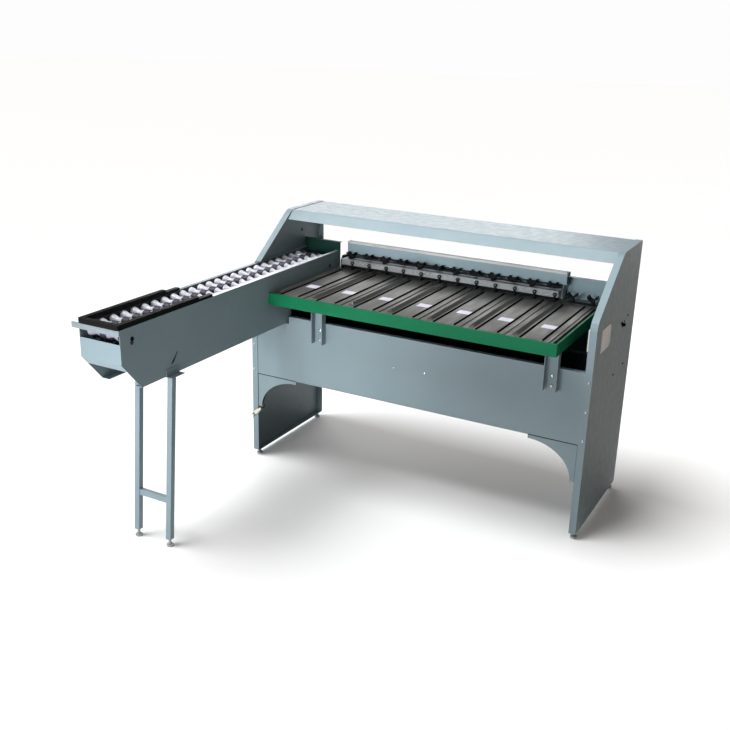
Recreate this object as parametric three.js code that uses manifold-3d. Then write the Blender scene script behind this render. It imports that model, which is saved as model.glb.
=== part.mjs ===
// Egg grading machine: a roller conveyor brings eggs in two rows to a line of weighing levers,
// and a transfer beam steps them past seven collecting lanes on a rimmed table.
// Millimetres, X to the right along the table, Y to the rear, Z up.
import * as THREE from "three";
import { mergeVertices } from "three/addons/utils/BufferGeometryUtils.js";
import Module from "manifold-3d";

const wasm = await Module();
wasm.setup();

// Whole machine
const machineWidth = 1390; // outer face to outer face of the end frames
const machineDepth = 510;
const deckHeight = 750; // the table's surface over the floor
const topRise = 250; // from the table to the top
const machineHeight = deckHeight + topRise;
const sheet = 2; // folded sheet steel
const fit = 0.3; // clearance between pieces that seat on each other
const overrun = 5; // how far cutting tools pass the material
const weldDistance = 0.001; // vertices nearer than this are one

// End frames
const frameFoot = 22; // height of the frames' lower edge
const slopeRise = 196; // height of the sloped front edge
const frontHeight = machineHeight - slopeRise; // where it starts
const slopeDepth = 262; // where it reaches the top
const flange = 25; // folded edge
const frameCorner = 6;
const slopeCorner = 22;

// Front apron and its corner gussets
const apronDrop = 118; // below the table
const apronHeight = 265;
const apronTop = deckHeight - apronDrop;
const apronBottom = apronTop - apronHeight;
const apronLip = 20;
const gussetWidth = 205;
const gussetDrop = 142;
const gussetArm = 40; // width of the arm that runs down the flange
const gussetEnd = 14; // height of the end under the apron

// Rear panel
const rearBottom = 330;
const rearRise = 78; // over the table
const rearTop = deckHeight + rearRise;
const rearLip = 14;
const rearNotchDrop = 60; // below the table, behind the conveyor
const rearNotchFloor = deckHeight - rearNotchDrop;

// Hood over the top
const hoodDrop = 2; // below the top edge of the end frames
const hoodFront = 267; // upper front bend
const hoodNose = 226; // lower front edge
const hoodNoseDrop = 36; // below the top
const hoodNoseHeight = machineHeight - hoodNoseDrop;
const hoodReturn = 16;
const hoodRearLip = 30;
const hoodBend = 4; // bend radius

// Conveyor trough
const troughWidth = 167.7; // over the side plates
const troughFront = -930;
const troughBack = 114.3; // from its rear end to the machine's back
const troughRear = machineDepth - troughBack;
const troughRise = 72; // over the table
const troughHeight = 213;
const troughTop = deckHeight + troughRise;
const troughBottom = troughTop - troughHeight;
const chamferRun = 86;
const chamferRise = 100;
const troughTopFlange = 14;
const troughBottomFlange = 28;
const troughGap = 6; // round the trough where it passes through the frame
const frontSlotDrop = 47; // floor of the slot in the conveyor's front, below its top
const slotBottom = troughTop - frontSlotDrop;
const frontBarHeight = 19;
const slotTop = troughTop - frontBarHeight;
const frontPanelLip = 38;
const frontBarOverhang = 28; // the bar's free end on the left
const frontBarThickness = 3;
const slotLowerSetBack = 238; // slanted adjusting slot in the right side plate
const slotLowerRise = 37;
const slotUpperSetBack = 266;
const slotUpperRise = 70;
const slotLowerRadius = 5;
const slotUpperRadius = 2.5;
const endGuardRise = 108; // over the table
const endGuardTop = deckHeight + endGuardRise;
const endGuardOverlap = 6;

// Loading frame on the conveyor's front
const loadingOverhang = 6; // in front of the trough
const loadingStepLength = 396; // from the trough's front; behind this the frame is lower
const loadingLength = 470;
const loadingFront = troughFront - loadingOverhang;
const loadingStep = troughFront + loadingStepLength;
const loadingRear = troughFront + loadingLength;
const loadingBar = 18;
const loadingHeight = 17;
const loadingLowHeight = 9;
const loadingInset = 1;
const loadingCorner = 9;

// Roller conveyor
const rollerPitch = 50;
const rollerRadius = 17;
const rollerWaist = 11.5;
const rollerShaft = 4;
const rollerLength = 60;
const rollerGap = 6; // between the two rollers of one shaft
const rollersPerTurn = 4;
const turnRadius = (rollersPerTurn * rollerPitch) / (2 * Math.PI);
const runDrop = 19; // shaft centres of the upper run, below the trough's top
const runHeight = troughTop - runDrop;
const idlerSetBack = 53; // from the trough's front
const driveClearance = 60; // least distance from the drive shaft to the trough's rear end
const idlerY = troughFront + idlerSetBack;
const chainBar = 3; // thickness of a chain strand
const chainBarHeight = 12;
const chainBarEnd = 8;
const chainSetIn = 12.7; // outer face of a strand from the side plate's outer face plus the fit
const turnDisc = 26;
const turnDiscThickness = 3;
const turnDiscGap = 1.5;
const turnArm = 9;
const axleRadius = 8;
const guideWeb = 2;
const guideStop = 36; // guides end this far from the axles

// Conveyor drive
const driveSprocketRadius = 24;
const motorSprocketRadius = 16;
const sprocketThickness = 3;
const sprocketSetIn = 5.2;
const motorHeight = 520;
const motorLength = 96;
const motorRadius = 32;
const gearboxWidth = 56;
const gearboxSide = 66;
const outputShaft = 7;
const outputGap = 3.5;
const chainDepth = 6;
const motorFootThickness = 3;
const motorFootDrop = 38;
const teethCount = 14;
const toothShare = 0.1;
const gearboxCorner = 6;

// Stand under the conveyor
const standFootSetBack = 162; // from the trough's front
const standTopSetBack = 214;
const standLegs = [45, 185]; // centres of the two legs along X
const legSide = 20;
const legBottom = 27;
const legWall = 2;
const standRail = 160; // lower face of the cross rail
const discFootRadius = 13;
const discFootHeight = 6;
const discFootStem = 5;
const standPlateSetBack = 204; // from the trough's front
const standPlateDepth = 66;
const standPlateLeft = 20;
const standPlateTab = 24;

// Frame feet
const footRadius = 12;
const footPad = 8;
const footStem = 5;
const footSetBack = 24;

// Table
const deckFront = -125.7;
const deckBack = 40; // from its rear edge to the machine's back
const deckRear = machineDepth - deckBack;
const deckLip = 34;
const rimRise = 8; // over the table
const rimHeight = 45;
const rimTop = deckHeight + rimRise;
const rimBottom = rimTop - rimHeight;
const rimInset = 93; // from its right side's outer face to the machine's right face
const rimRight = machineWidth - rimInset;
const rimBack = 74; // from its rear end to the table's rear edge
const rimRear = deckRear - rimBack;
const rimFoot = 20;
const rimHem = 6;
const laneCount = 7;
const laneMargin = 13; // from the trough to the first lane
const lanePlateShare = 0.59; // of the lane pitch
const lanePlateThickness = 3;
const lanePlateCorner = 3;
const lanePlateSetBack = 21.7; // from the table's front edge
const lanePlateFront = deckFront + lanePlateSetBack;
const lanePlateBack = 86; // from the table's rear edge
const lanePlateRear = deckRear - lanePlateBack;
const ridgeSetBack = 51.7;
const ridgeFront = deckFront + ridgeSetBack;
const ridgeBack = 101;
const ridgeRear = deckRear - ridgeBack;
const baseSetBack = 2; // the mechanism's base plate starts this far behind the ridges
const baseLip = 15;
const ridgeRise = 11;
const ridgeLeft = 15; // gentle side
const ridgeRight = 9; // steep side, from the crest
const bracketWidth = 48;
const bracketFlange = 28;
const bracketReach = 81; // below the apron's top
const bracketBottom = apronTop - bracketReach;
const bracketLeft = 320; // centre of the left bracket
const bracketRightInset = 138; // centre of the right one from the machine's right face
const beamFront = 60;
const beamDrop = 72; // below the table
const beamHeight = 78;
const beamTop = deckHeight - beamDrop;
const beamBottom = beamTop - beamHeight;
const beamLip = 30;
const supportRodRadius = 11.7;
const supportRodBack = 172; // from the table's rear edge
const supportRodY = deckRear - supportRodBack;

// Weighing and transfer mechanism
const stationCount = 12; // on the shelf
const shelfBack = 83; // from its front edge to the table's rear edge
const shelfDepth = 51;
const shelfRise = 42; // over the table
const shelfFront = deckRear - shelfBack;
const shelfRear = shelfFront + shelfDepth;
const shelfHeight = deckHeight + shelfRise;
const shelfLip = 24;
const shelfFoot = 16;
const coverDepth = 30;
const coverFootRise = 58; // of its front's lower edge, over the table
const coverRise = 106; // of its top
const coverBend = 10; // bend radius
const coverMargin = 4; // from the first lane to its left cheek
const coverShortfall = 7; // from its right cheek's inner face to the last station's end
const coverOverhang = 16; // past that face
const coverRear = deckRear;
const coverFront = coverRear - coverDepth;
const coverBottom = deckHeight + coverFootRise;
const coverTop = deckHeight + coverRise;
const coverRearLip = 20;
const leverGap = 7; // over the shelf
const leverLow = shelfHeight + leverGap;
const leverThickness = 3;
const leverWidth = 10;
const leverSetBack = 9; // from the shelf's front
const leverFront = shelfFront + leverSetBack;
const pivotSetBack = 12; // behind the cover's front
const pivotY = coverFront + pivotSetBack;
const pivotRadius = 3;
const hubRadius = 7;
const hubWidth = 14;
const weightSetBack = 4; // behind the cover
const weightLength = 22;
const weightFront = coverRear + weightSetBack;
const weightRear = weightFront + weightLength;
const weightHeight = 24;
const weightWidth = 22;
const forkHalf = 20; // from the middle of a fork to a prong's tip
const forkRise = 19;
const forkBase = 8;
const forkWall = 5;
const forkSetIns = [2, 24]; // front faces of a cradle's two forks, behind the lever's front
const forkPlaces = forkSetIns.map((setIn) => leverFront + setIn);
const strandHeight = 2; // strip that joins the rest cradles
const strandWidth = 7;
const strandBack = 3; // from the shelf's rear
const strandRear = shelfRear - strandBack;
const strandFront = strandRear - strandWidth;
const strandOverhang = 22;
const outletCount = 2;
const outletSetBack = 11; // from the shelf's front
const outletPostSetBack = 13; // the posts stand behind the transfer beam's way
const outletLength = 34;
const outletFront = shelfFront + outletSetBack;
const outletPostFront = outletFront + outletPostSetBack;
const outletRear = outletFront + outletLength;
const outletRise = 22; // top of the arms over the table
const carriageSetBack = 25; // from the shelf's front
const carriageWidth = 14;
const carriageFront = shelfFront + carriageSetBack;
const carriageRear = carriageFront + carriageWidth;
const carriageHeight = 4;
const carriageInset = 60;
const guidePinRadius = 3;
const guidePinHeight = 20;
const guidePinShares = [0.2, 0.8]; // along the carriage
const stepBeamSetBack = 11;
const stepBeamThickness = 10;
const stepBeamRise = 4; // over the table
const stepBeamHeight = 8;
const stepBeamOverhang = 30; // past the first and last stations
const stepBeamFront = shelfFront + stepBeamSetBack;
const stepBeamRear = stepBeamFront + stepBeamThickness;
const stepBeamLow = deckHeight + stepBeamRise;
const stepBeamHigh = stepBeamLow + stepBeamHeight;
const hookReach = 11; // in front of the shelf
const hookFront = shelfFront - hookReach;
const hookWall = 4;
const hookArm = 6;
const hookRise = 31; // of the rings' centres over the table
const hookCentre = deckHeight + hookRise;
const hookLead = 22; // the hooks rest this far past their stations
const hookRadius = 8;
const hookBore = 4.5;
const lugRadius = 7;

// Cam shaft under the table
const camShaftBack = 30; // from the table's rear edge
const camShaftDrop = 60; // below the table
const camShaftY = deckRear - camShaftBack;
const camShaftZ = deckHeight - camShaftDrop;
const camShaftRadius = 9;
const camRadius = 22;
const camOffset = 8;
const camWidth = 14;
const camShares = [0.2, 0.5, 0.8]; // along the table

// Mains plug and its lead
const plugX = 36;
const plugY = -16;
const plugZ = 210;
const plugLength = 34;
const plugRadius = 10;
const plugTaperShare = 0.7; // of the radius, at the lead's end
const plugTilt = 0.75; // turned from upright, in radians
const pinRadius = 2;
const pinLength = 17;
const pinSpread = 5;
const leadRadius = 3;
const leadEntry = [60, 10, 250]; // where the lead passes behind the left gusset
const leadBehind = [56, 34, 330];
const leadRise = [44, 70, 430];
const leadTop = [42, 170, 505];

const axisX = new THREE.Vector3(1, 0, 0);
const axisY = new THREE.Vector3(0, 1, 0);
const axisZ = new THREE.Vector3(0, 0, 1);

const paint = new THREE.MeshStandardMaterial({ color: 0x98a8b2, roughness: 0.5, metalness: 0.1 });
const greenPaint = new THREE.MeshStandardMaterial({ color: 0x10784e, roughness: 0.45, metalness: 0.1 });
const bright = new THREE.MeshStandardMaterial({ color: 0xc2c4c6, roughness: 0.35, metalness: 0.9 });
const brushed = new THREE.MeshStandardMaterial({ color: 0x8f9192, roughness: 0.45, metalness: 0.8 });
const blackPlastic = new THREE.MeshStandardMaterial({ color: 0x17181a, roughness: 0.5, metalness: 0 });
const whitePlastic = new THREE.MeshStandardMaterial({ color: 0xd6d9e0, roughness: 0.4, metalness: 0 });
const darkSteel = new THREE.MeshStandardMaterial({ color: 0x4a4d50, roughness: 0.5, metalness: 0.8 });
const rubber = new THREE.MeshStandardMaterial({ color: 0x1c1c1c, roughness: 0.8, metalness: 0 });
const creamPlastic = new THREE.MeshStandardMaterial({ color: 0xd8d2bd, roughness: 0.5, metalness: 0 });

const machine = new THREE.Group();

// Makes a closed geometry a solid that can be joined and cut.
function toSolid(geometry) {
  const plain = geometry.index ? geometry.toNonIndexed() : geometry.clone();
  plain.deleteAttribute("normal");
  plain.deleteAttribute("uv");
  const merged = mergeVertices(plain, weldDistance);
  return new wasm.Manifold(
    new wasm.Mesh({
      numProp: 3,
      vertProperties: merged.attributes.position.array,
      triVerts: new Uint32Array(merged.index.array),
    }),
  );
}

// Adds a solid to the machine as a named mesh.
function addPiece(name, solid, material) {
  const made = solid.getMesh();
  const geometry = new THREE.BufferGeometry();
  geometry.setAttribute("position", new THREE.BufferAttribute(made.vertProperties, made.numProp));
  geometry.setIndex(new THREE.BufferAttribute(made.triVerts, 1));
  const mesh = new THREE.Mesh(geometry.toNonIndexed(), material);
  mesh.geometry.computeVertexNormals();
  mesh.name = name;
  machine.add(mesh);
}

const join = (...solids) => solids.reduce((whole, solid) => whole.add(solid));
const cut = (solid, ...tools) => tools.reduce((rest, tool) => rest.subtract(tool), solid);

function block(x0, x1, y0, y1, z0, z1) {
  const box = new THREE.BoxGeometry(x1 - x0, y1 - y0, z1 - z0);
  return toSolid(box.translate((x0 + x1) / 2, (y0 + y1) / 2, (z0 + z1) / 2));
}

// Outlines drawn in (Y, Z), (X, Z) and (X, Y), carried along the third axis.
function slabX(shape, x0, x1, curveSegments = 4) {
  const slab = new THREE.ExtrudeGeometry(shape, { depth: x1 - x0, bevelEnabled: false, curveSegments });
  slab.applyMatrix4(new THREE.Matrix4().makeBasis(axisY, axisZ, axisX));
  return toSolid(slab.translate(x0, 0, 0));
}

function slabY(shape, y0, y1, curveSegments = 4) {
  const slab = new THREE.ExtrudeGeometry(shape, { depth: y1 - y0, bevelEnabled: false, curveSegments });
  slab.applyMatrix4(new THREE.Matrix4().makeBasis(axisX, axisZ, axisY.clone().negate()));
  return toSolid(slab.translate(0, y1, 0));
}

function slabZ(shape, z0, z1, curveSegments = 4) {
  const slab = new THREE.ExtrudeGeometry(shape, { depth: z1 - z0, bevelEnabled: false, curveSegments });
  return toSolid(slab.translate(0, 0, z0));
}

function rodX(y, z, radius, x0, x1, sides = 16) {
  const rod = new THREE.CylinderGeometry(radius, radius, x1 - x0, sides);
  return toSolid(rod.rotateZ(Math.PI / 2).translate((x0 + x1) / 2, y, z));
}

function rodZ(x, y, radius, z0, z1, sides = 16) {
  const rod = new THREE.CylinderGeometry(radius, radius, z1 - z0, sides);
  return toSolid(rod.rotateX(Math.PI / 2).translate(x, y, (z0 + z1) / 2));
}

// A profile of [place along X, radius] pairs turned about an axis parallel to X.
function turnedX(profile, y, z, sides) {
  const points = profile.map(([along, radius]) => new THREE.Vector2(radius, along));
  const turned = new THREE.LatheGeometry(points, sides);
  return toSolid(turned.rotateZ(-Math.PI / 2).translate(0, y, z));
}

const outline = (points) => new THREE.Shape(points.map(([u, v]) => new THREE.Vector2(u, v)));

// An outline whose corners, given as [u, v, radius], are rounded.
function roundedOutline(corners) {
  const shape = new THREE.Shape();
  const towards = ([u, v, radius], [toU, toV]) => {
    const share = radius / Math.hypot(toU - u, toV - v);
    return [u + (toU - u) * share, v + (toV - v) * share];
  };
  corners.forEach((corner, i) => {
    const start = towards(corner, corners[(i + corners.length - 1) % corners.length]);
    const end = towards(corner, corners[(i + 1) % corners.length]);
    if (i) shape.lineTo(...start);
    else shape.moveTo(...start);
    if (corner[2]) shape.quadraticCurveTo(corner[0], corner[1], ...end);
  });
  shape.closePath();
  return shape;
}

const rectangle = (u0, u1, v0, v1, radius) =>
  roundedOutline([
    [u0, v0, radius],
    [u1, v0, radius],
    [u1, v1, radius],
    [u0, v1, radius],
  ]);

// Where two offset lines that meet at a bend cross, as a share of the offset.
function mitre(before, at, after) {
  const normals = [];
  if (before) normals.push(new THREE.Vector2(before[1] - at[1], at[0] - before[0]).normalize());
  if (after) normals.push(new THREE.Vector2(at[1] - after[1], after[0] - at[0]).normalize());
  if (normals.length === 1) return normals[0];
  const spread = 1 + normals[0].dot(normals[1]);
  return normals[0].add(normals[1]).divideScalar(spread);
}

// The section of a folded sheet: its outer face is the line of points, its wall lies to their left.
// Its bends have the given outer radius, and a bend of no radius is sharp.
function foldedSheet(points, wall, bend = 0) {
  const isBend = (i) => i > 0 && i < points.length - 1;
  const outer = points.map(([u, v], i) => [u, v, isBend(i) ? bend : 0]);
  const inner = points.map((point, i) => {
    const side = mitre(points[i - 1], point, points[i + 1]);
    const radius = isBend(i) ? Math.max(bend - wall, 0) : 0;
    return [point[0] + wall * side.x, point[1] + wall * side.y, radius];
  });
  return roundedOutline([...outer, ...inner.reverse()]);
}

// The closed outline drawn in by the wall, corner radii too.
function drawnIn(corners, wall) {
  return corners.map((corner, i) => {
    const before = corners[(i + corners.length - 1) % corners.length];
    const after = corners[(i + 1) % corners.length];
    const side = mitre(before, corner, after);
    return [corner[0] + wall * side.x, corner[1] + wall * side.y, corner[2] - wall];
  });
}

// Working places that several groups share
const innerLeft = sheet + fit;
const innerRight = machineWidth - sheet - fit;
const innerRear = machineDepth - sheet - fit;
const apronFace = sheet + fit;
const troughLeft = sheet + fit;
const troughRight = troughLeft + troughWidth;
const axleHeight = runHeight - turnRadius;
const rollerCount = Math.floor((troughRear - driveClearance - idlerY) / rollerPitch);
const returnHeight = axleHeight - turnRadius;
const driveY = idlerY + rollerCount * rollerPitch;
const laneStart = troughRight + laneMargin;
const lanePitch = (rimRight - sheet - fit - laneStart) / laneCount;
const stationPitch = lanePitch / 2;
const coverLeft = laneStart + coverMargin;
const coverCheek = laneStart + stationCount * stationPitch - coverShortfall; // inner face of the right cheek
const coverRight = coverCheek + coverOverhang;
const pivotZ = leverLow + leverThickness / 2;
const deckLeft = troughRight + fit;
const deckRight = rimRight - sheet - fit;

// End frames: a plate with its edges folded inwards
function endFrame(outerFace, inwards) {
  const corners = [
    [0, frameFoot, frameCorner],
    [machineDepth, frameFoot, frameCorner],
    [machineDepth, machineHeight, frameCorner],
    [slopeDepth, machineHeight, slopeCorner],
    [0, frontHeight, slopeCorner],
  ];
  const span = (depth) => [outerFace, outerFace + inwards * depth].sort((a, b) => a - b);
  const plate = slabX(roundedOutline(corners), ...span(sheet), 3);
  const ring = roundedOutline(corners);
  ring.holes.push(roundedOutline(drawnIn(corners, sheet)));
  const fold = slabX(ring, ...span(flange), 3);
  return join(plate, fold);
}

function addFrame() {
  const conveyorNotch = block(
    sheet,
    flange + overrun,
    -overrun,
    flange + troughGap,
    troughBottom - troughGap,
    troughTop + troughGap,
  );
  addPiece("left_end_frame", cut(endFrame(0, 1), conveyorNotch), paint);
  addPiece("right_end_frame", endFrame(machineWidth, -1), paint);

  const apron = slabX(
    foldedSheet(
      [
        [apronFace + apronLip, apronTop],
        [apronFace, apronTop],
        [apronFace, apronBottom],
        [apronFace + apronLip, apronBottom],
      ],
      sheet,
    ),
    innerLeft,
    innerRight,
  );
  const apronNotch = block(
    0,
    troughRight + troughGap,
    0,
    apronFace + apronLip + overrun,
    troughBottom - troughGap,
    apronTop + overrun,
  );
  addPiece("front_apron", cut(apron, apronNotch), paint);

  const gusset = new THREE.Shape();
  const gussetTop = apronBottom - fit;
  gusset.moveTo(0, gussetTop);
  gusset.lineTo(0, gussetTop - gussetDrop);
  gusset.lineTo(gussetArm, gussetTop - gussetDrop);
  gusset.absellipse(
    gussetWidth,
    gussetTop - gussetDrop,
    gussetWidth - gussetArm,
    gussetDrop - gussetEnd,
    Math.PI,
    Math.PI / 2,
    true,
  );
  gusset.lineTo(gussetWidth, gussetTop);
  gusset.closePath();
  const leftGusset = slabY(gusset, apronFace, apronFace + sheet, 10);
  addPiece("left_gusset", leftGusset.translate([innerLeft, 0, 0]), paint);
  addPiece("right_gusset", leftGusset.mirror([1, 0, 0]).translate([innerRight, 0, 0]), paint);

  const rearFace = innerRear - sheet;
  const rear = join(
    block(innerLeft, innerRight, rearFace, innerRear, rearBottom, rearTop),
    block(innerLeft, innerRight, rearFace - rearLip, rearFace, rearTop - sheet, rearTop),
    block(innerLeft, innerRight, rearFace - rearLip, rearFace, rearBottom, rearBottom + sheet),
  );
  const rearNotch = block(
    0,
    troughRight + troughGap,
    rearFace - rearLip - overrun,
    machineDepth,
    rearNotchFloor,
    rearTop + overrun,
  );
  addPiece("rear_panel", cut(rear, rearNotch), paint);

  const hoodTop = machineHeight - hoodDrop;
  const hood = foldedSheet(
    [
      [innerRear, hoodTop - hoodRearLip],
      [innerRear, hoodTop],
      [hoodFront, hoodTop],
      [hoodNose, hoodNoseHeight],
      [hoodNose + hoodReturn, hoodNoseHeight - sheet],
    ],
    sheet,
    hoodBend,
  );
  const hoodLeft = flange + fit;
  const hoodRight = machineWidth - flange - fit;
  addPiece("top_hood", slabX(hood, hoodLeft, hoodRight, 3), paint);

  const feet = {
    frame_foot_front_left: [flange / 2, footSetBack],
    frame_foot_rear_left: [flange / 2, machineDepth - footSetBack],
    frame_foot_front_right: [machineWidth - flange / 2, footSetBack],
    frame_foot_rear_right: [machineWidth - flange / 2, machineDepth - footSetBack],
  };
  for (const [name, [x, y]] of Object.entries(feet)) {
    const pad = rodZ(x, y, footRadius, 0, footPad, 12);
    addPiece(name, join(pad, rodZ(x, y, footStem, 0, frameFoot - fit, 8)), rubber);
  }
}

// Conveyor trough: two side plates, front panel and bar, loading frame, chain guides
function sidePlate(outerFace, inwards) {
  const corners = [
    [troughFront, troughBottom + chamferRise],
    [troughFront + chamferRun, troughBottom],
    [troughRear, troughBottom],
    [troughRear, troughTop],
    [troughFront, troughTop],
  ];
  const span = (depth) => [outerFace, outerFace + inwards * depth].sort((a, b) => a - b);
  const plate = slabX(outline(corners), ...span(sheet));
  const top = block(...span(troughTopFlange), troughFront, troughRear, troughTop - sheet, troughTop);
  const bottom = block(
    ...span(troughBottomFlange),
    troughFront + chamferRun,
    driveY - guideStop - overrun,
    troughBottom,
    troughBottom + sheet,
  );
  const bores = [idlerY, driveY].map((y) =>
    rodX(y, axleHeight, axleRadius + fit, ...span(sheet + overrun), 12),
  );
  return cut(join(plate, top, bottom), ...bores);
}

function addTrough() {
  const heading = Math.atan2(slotUpperRise - slotLowerRise, slotUpperSetBack - slotLowerSetBack);
  const [leftwards, rightwards] = [heading + Math.PI / 2, heading - Math.PI / 2];
  const lowerEnd = [troughFront + slotLowerSetBack, troughBottom + slotLowerRise];
  const upperEnd = [troughFront + slotUpperSetBack, troughBottom + slotUpperRise];
  const slot = new THREE.Shape();
  slot.absarc(...lowerEnd, slotLowerRadius, leftwards, rightwards, false);
  slot.absarc(...upperEnd, slotUpperRadius, rightwards, leftwards, false);
  slot.closePath();
  const slotCut = slabX(slot, troughRight - overrun, troughRight + overrun, 3);
  addPiece("conveyor_left_side", sidePlate(troughLeft, 1), paint);
  addPiece("conveyor_right_side", cut(sidePlate(troughRight, -1), slotCut), paint);

  const chamfer = new THREE.Vector2(chamferRun, -chamferRise).setLength(frontPanelLip);
  const frontPanel = foldedSheet(
    [
      [troughFront, slotBottom],
      [troughFront, troughBottom + chamferRise],
      [troughFront + chamfer.x, troughBottom + chamferRise + chamfer.y],
    ],
    sheet,
  );
  addPiece(
    "conveyor_front_panel",
    slabX(frontPanel, troughLeft + sheet + fit, troughRight - sheet - fit),
    paint,
  );
  const barRear = troughFront - fit;
  const bar = rectangle(troughLeft - frontBarOverhang, troughRight, slotTop, troughTop, frontBarThickness);
  addPiece("conveyor_front_bar", slabY(bar, barRear - frontBarThickness, barRear), bright);

  const loadLeft = troughLeft + loadingInset;
  const loadRight = troughRight - loadingInset;
  const loadBase = troughTop + fit;
  const tray = rectangle(loadLeft, loadRight, loadingFront, loadingStep, loadingCorner);
  const low = rectangle(loadLeft, loadRight, loadingFront, loadingRear, loadingCorner);
  const opening = block(
    loadLeft + loadingBar,
    loadRight - loadingBar,
    loadingFront + loadingBar,
    loadingRear + overrun,
    loadBase - overrun,
    loadBase + loadingHeight + overrun,
  );
  const frame = join(
    slabZ(tray, loadBase, loadBase + loadingHeight),
    slabZ(low, loadBase, loadBase + loadingLowHeight),
  );
  addPiece("loading_frame", cut(frame, opening), blackPlastic);

  const ledge = chainSetIn + chainBar;
  const guide = (webFace, inwards) => {
    const span = (from, to) => [webFace + inwards * from, webFace + inwards * to].sort((a, b) => a - b);
    const reach = [idlerY + guideStop, driveY - guideStop];
    const upper = runHeight - chainBarHeight / 2 - fit;
    const lower = returnHeight - chainBarHeight / 2 - fit;
    return join(
      block(...span(0, guideWeb), ...reach, lower - guideWeb, upper),
      block(...span(0, ledge - sheet - fit), ...reach, upper - guideWeb, upper),
      block(...span(0, ledge - sheet - fit), ...reach, lower - guideWeb, lower),
    );
  };
  addPiece("left_chain_guide", guide(troughLeft + sheet + fit, 1), bright);
  addPiece("right_chain_guide", guide(troughRight - sheet - fit, -1), bright);

  const guardFront = troughRear + fit;
  const guardRight = troughRight + endGuardOverlap;
  const aboveDeck = deckHeight + fit;
  const guard = join(
    block(innerLeft, troughRight, guardFront, guardFront + sheet, troughBottom, endGuardTop),
    block(innerLeft, guardRight, guardFront, guardFront + sheet, aboveDeck, endGuardTop),
    block(innerLeft, guardRight, guardFront, guardFront + rearLip, endGuardTop - sheet, endGuardTop),
  );
  addPiece("conveyor_end_guard", guard, greenPaint);
}

// Two rollers on one shaft, with a groove between them and, where they show, a waist
function rollerPair(y, z, from, to, sides, waisted = true) {
  const middle = (troughLeft + troughRight) / 2;
  const leftEnd = middle - rollerGap / 2 - rollerLength;
  const rightEnd = middle + rollerGap / 2 + rollerLength;
  const waist = (along) => (waisted ? [[along, rollerWaist]] : []);
  const profile = [
    [from, 0],
    [from, rollerShaft],
    [leftEnd, rollerShaft],
    [leftEnd, rollerRadius],
    ...waist(leftEnd + rollerLength / 2),
    [leftEnd + rollerLength, rollerRadius],
    [middle, rollerShaft],
    [rightEnd - rollerLength, rollerRadius],
    ...waist(rightEnd - rollerLength / 2),
    [rightEnd, rollerRadius],
    [rightEnd, rollerShaft],
    [to, rollerShaft],
    [to, 0],
  ];
  return turnedX(profile, y, z, sides);
}

function addRollers() {
  const left = troughLeft + chainSetIn;
  const right = troughRight - chainSetIn;
  const run = (z, sides, waisted) => {
    const pairs = Array.from({ length: rollerCount }, (_, i) =>
      rollerPair(
        idlerY + (i + 0.5) * rollerPitch,
        z,
        left + chainBar / 2,
        right - chainBar / 2,
        sides,
        waisted,
      ),
    );
    const strands = [left, right - chainBar].map((x) =>
      block(
        x,
        x + chainBar,
        idlerY + chainBarEnd,
        driveY - chainBarEnd,
        z - chainBarHeight / 2,
        z + chainBarHeight / 2,
      ),
    );
    return join(...strands, ...pairs);
  };
  addPiece("roller_run", run(runHeight, 6, true), whitePlastic);
  addPiece("return_run", run(returnHeight, 5, false), whitePlastic);

  const discs = [
    left + chainBar + turnDiscGap,
    right - chainBar - turnDiscGap - turnDiscThickness,
  ];
  const turn = (y, rollersAt) => {
    const pieces = [rodX(y, axleHeight, axleRadius, troughLeft + fit, troughRight - fit, 12)];
    for (const x of discs) pieces.push(rodX(y, axleHeight, turnDisc, x, x + turnDiscThickness, 12));
    for (const angle of rollersAt) {
      const rollerY = y + turnRadius * Math.cos(angle);
      const rollerZ = axleHeight + turnRadius * Math.sin(angle);
      const shaftEnds = [discs[0] + turnDiscThickness / 2, discs[1] + turnDiscThickness / 2];
      pieces.push(rollerPair(rollerY, rollerZ, ...shaftEnds, 6));
      for (const x of discs) {
        const arm = new THREE.BoxGeometry(turnDiscThickness, turnRadius, turnArm);
        arm.translate(0, turnRadius / 2, 0).rotateX(angle);
        pieces.push(toSolid(arm.translate(x + turnDiscThickness / 2, y, axleHeight)));
      }
    }
    return join(...pieces);
  };
  const eighth = Math.PI / 4;
  addPiece("idler_shaft", turn(idlerY, [3 * eighth, 5 * eighth]), whitePlastic);
  const sprocketLeft = troughLeft + sprocketSetIn;
  const driven = toothedDisc(driveY, axleHeight, driveSprocketRadius, sprocketLeft);
  addPiece("drive_shaft", join(turn(driveY, [eighth, -eighth]), driven), whitePlastic);
}

// A toothed disc whose teeth stay inside the given radius
function toothedDisc(y, z, radius, x) {
  const points = Array.from({ length: 2 * teethCount }, (_, i) => {
    const angle = (i * Math.PI) / teethCount;
    const reach = i % 2 ? radius * (1 - toothShare) : radius;
    return [y + reach * Math.cos(angle), z + reach * Math.sin(angle)];
  });
  return slabX(outline(points), x, x + sprocketThickness);
}

// The outline of a chain round two sprockets, one above the other
function chainOutline(grow) {
  const upper = driveSprocketRadius + grow;
  const lower = motorSprocketRadius + grow;
  const lean = Math.asin((upper - lower) / (axleHeight - motorHeight));
  const shape = new THREE.Shape();
  shape.absarc(driveY, axleHeight, upper, -lean, Math.PI + lean, false);
  shape.absarc(driveY, motorHeight, lower, Math.PI + lean, 2 * Math.PI - lean, false);
  shape.closePath();
  return shape;
}

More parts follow.
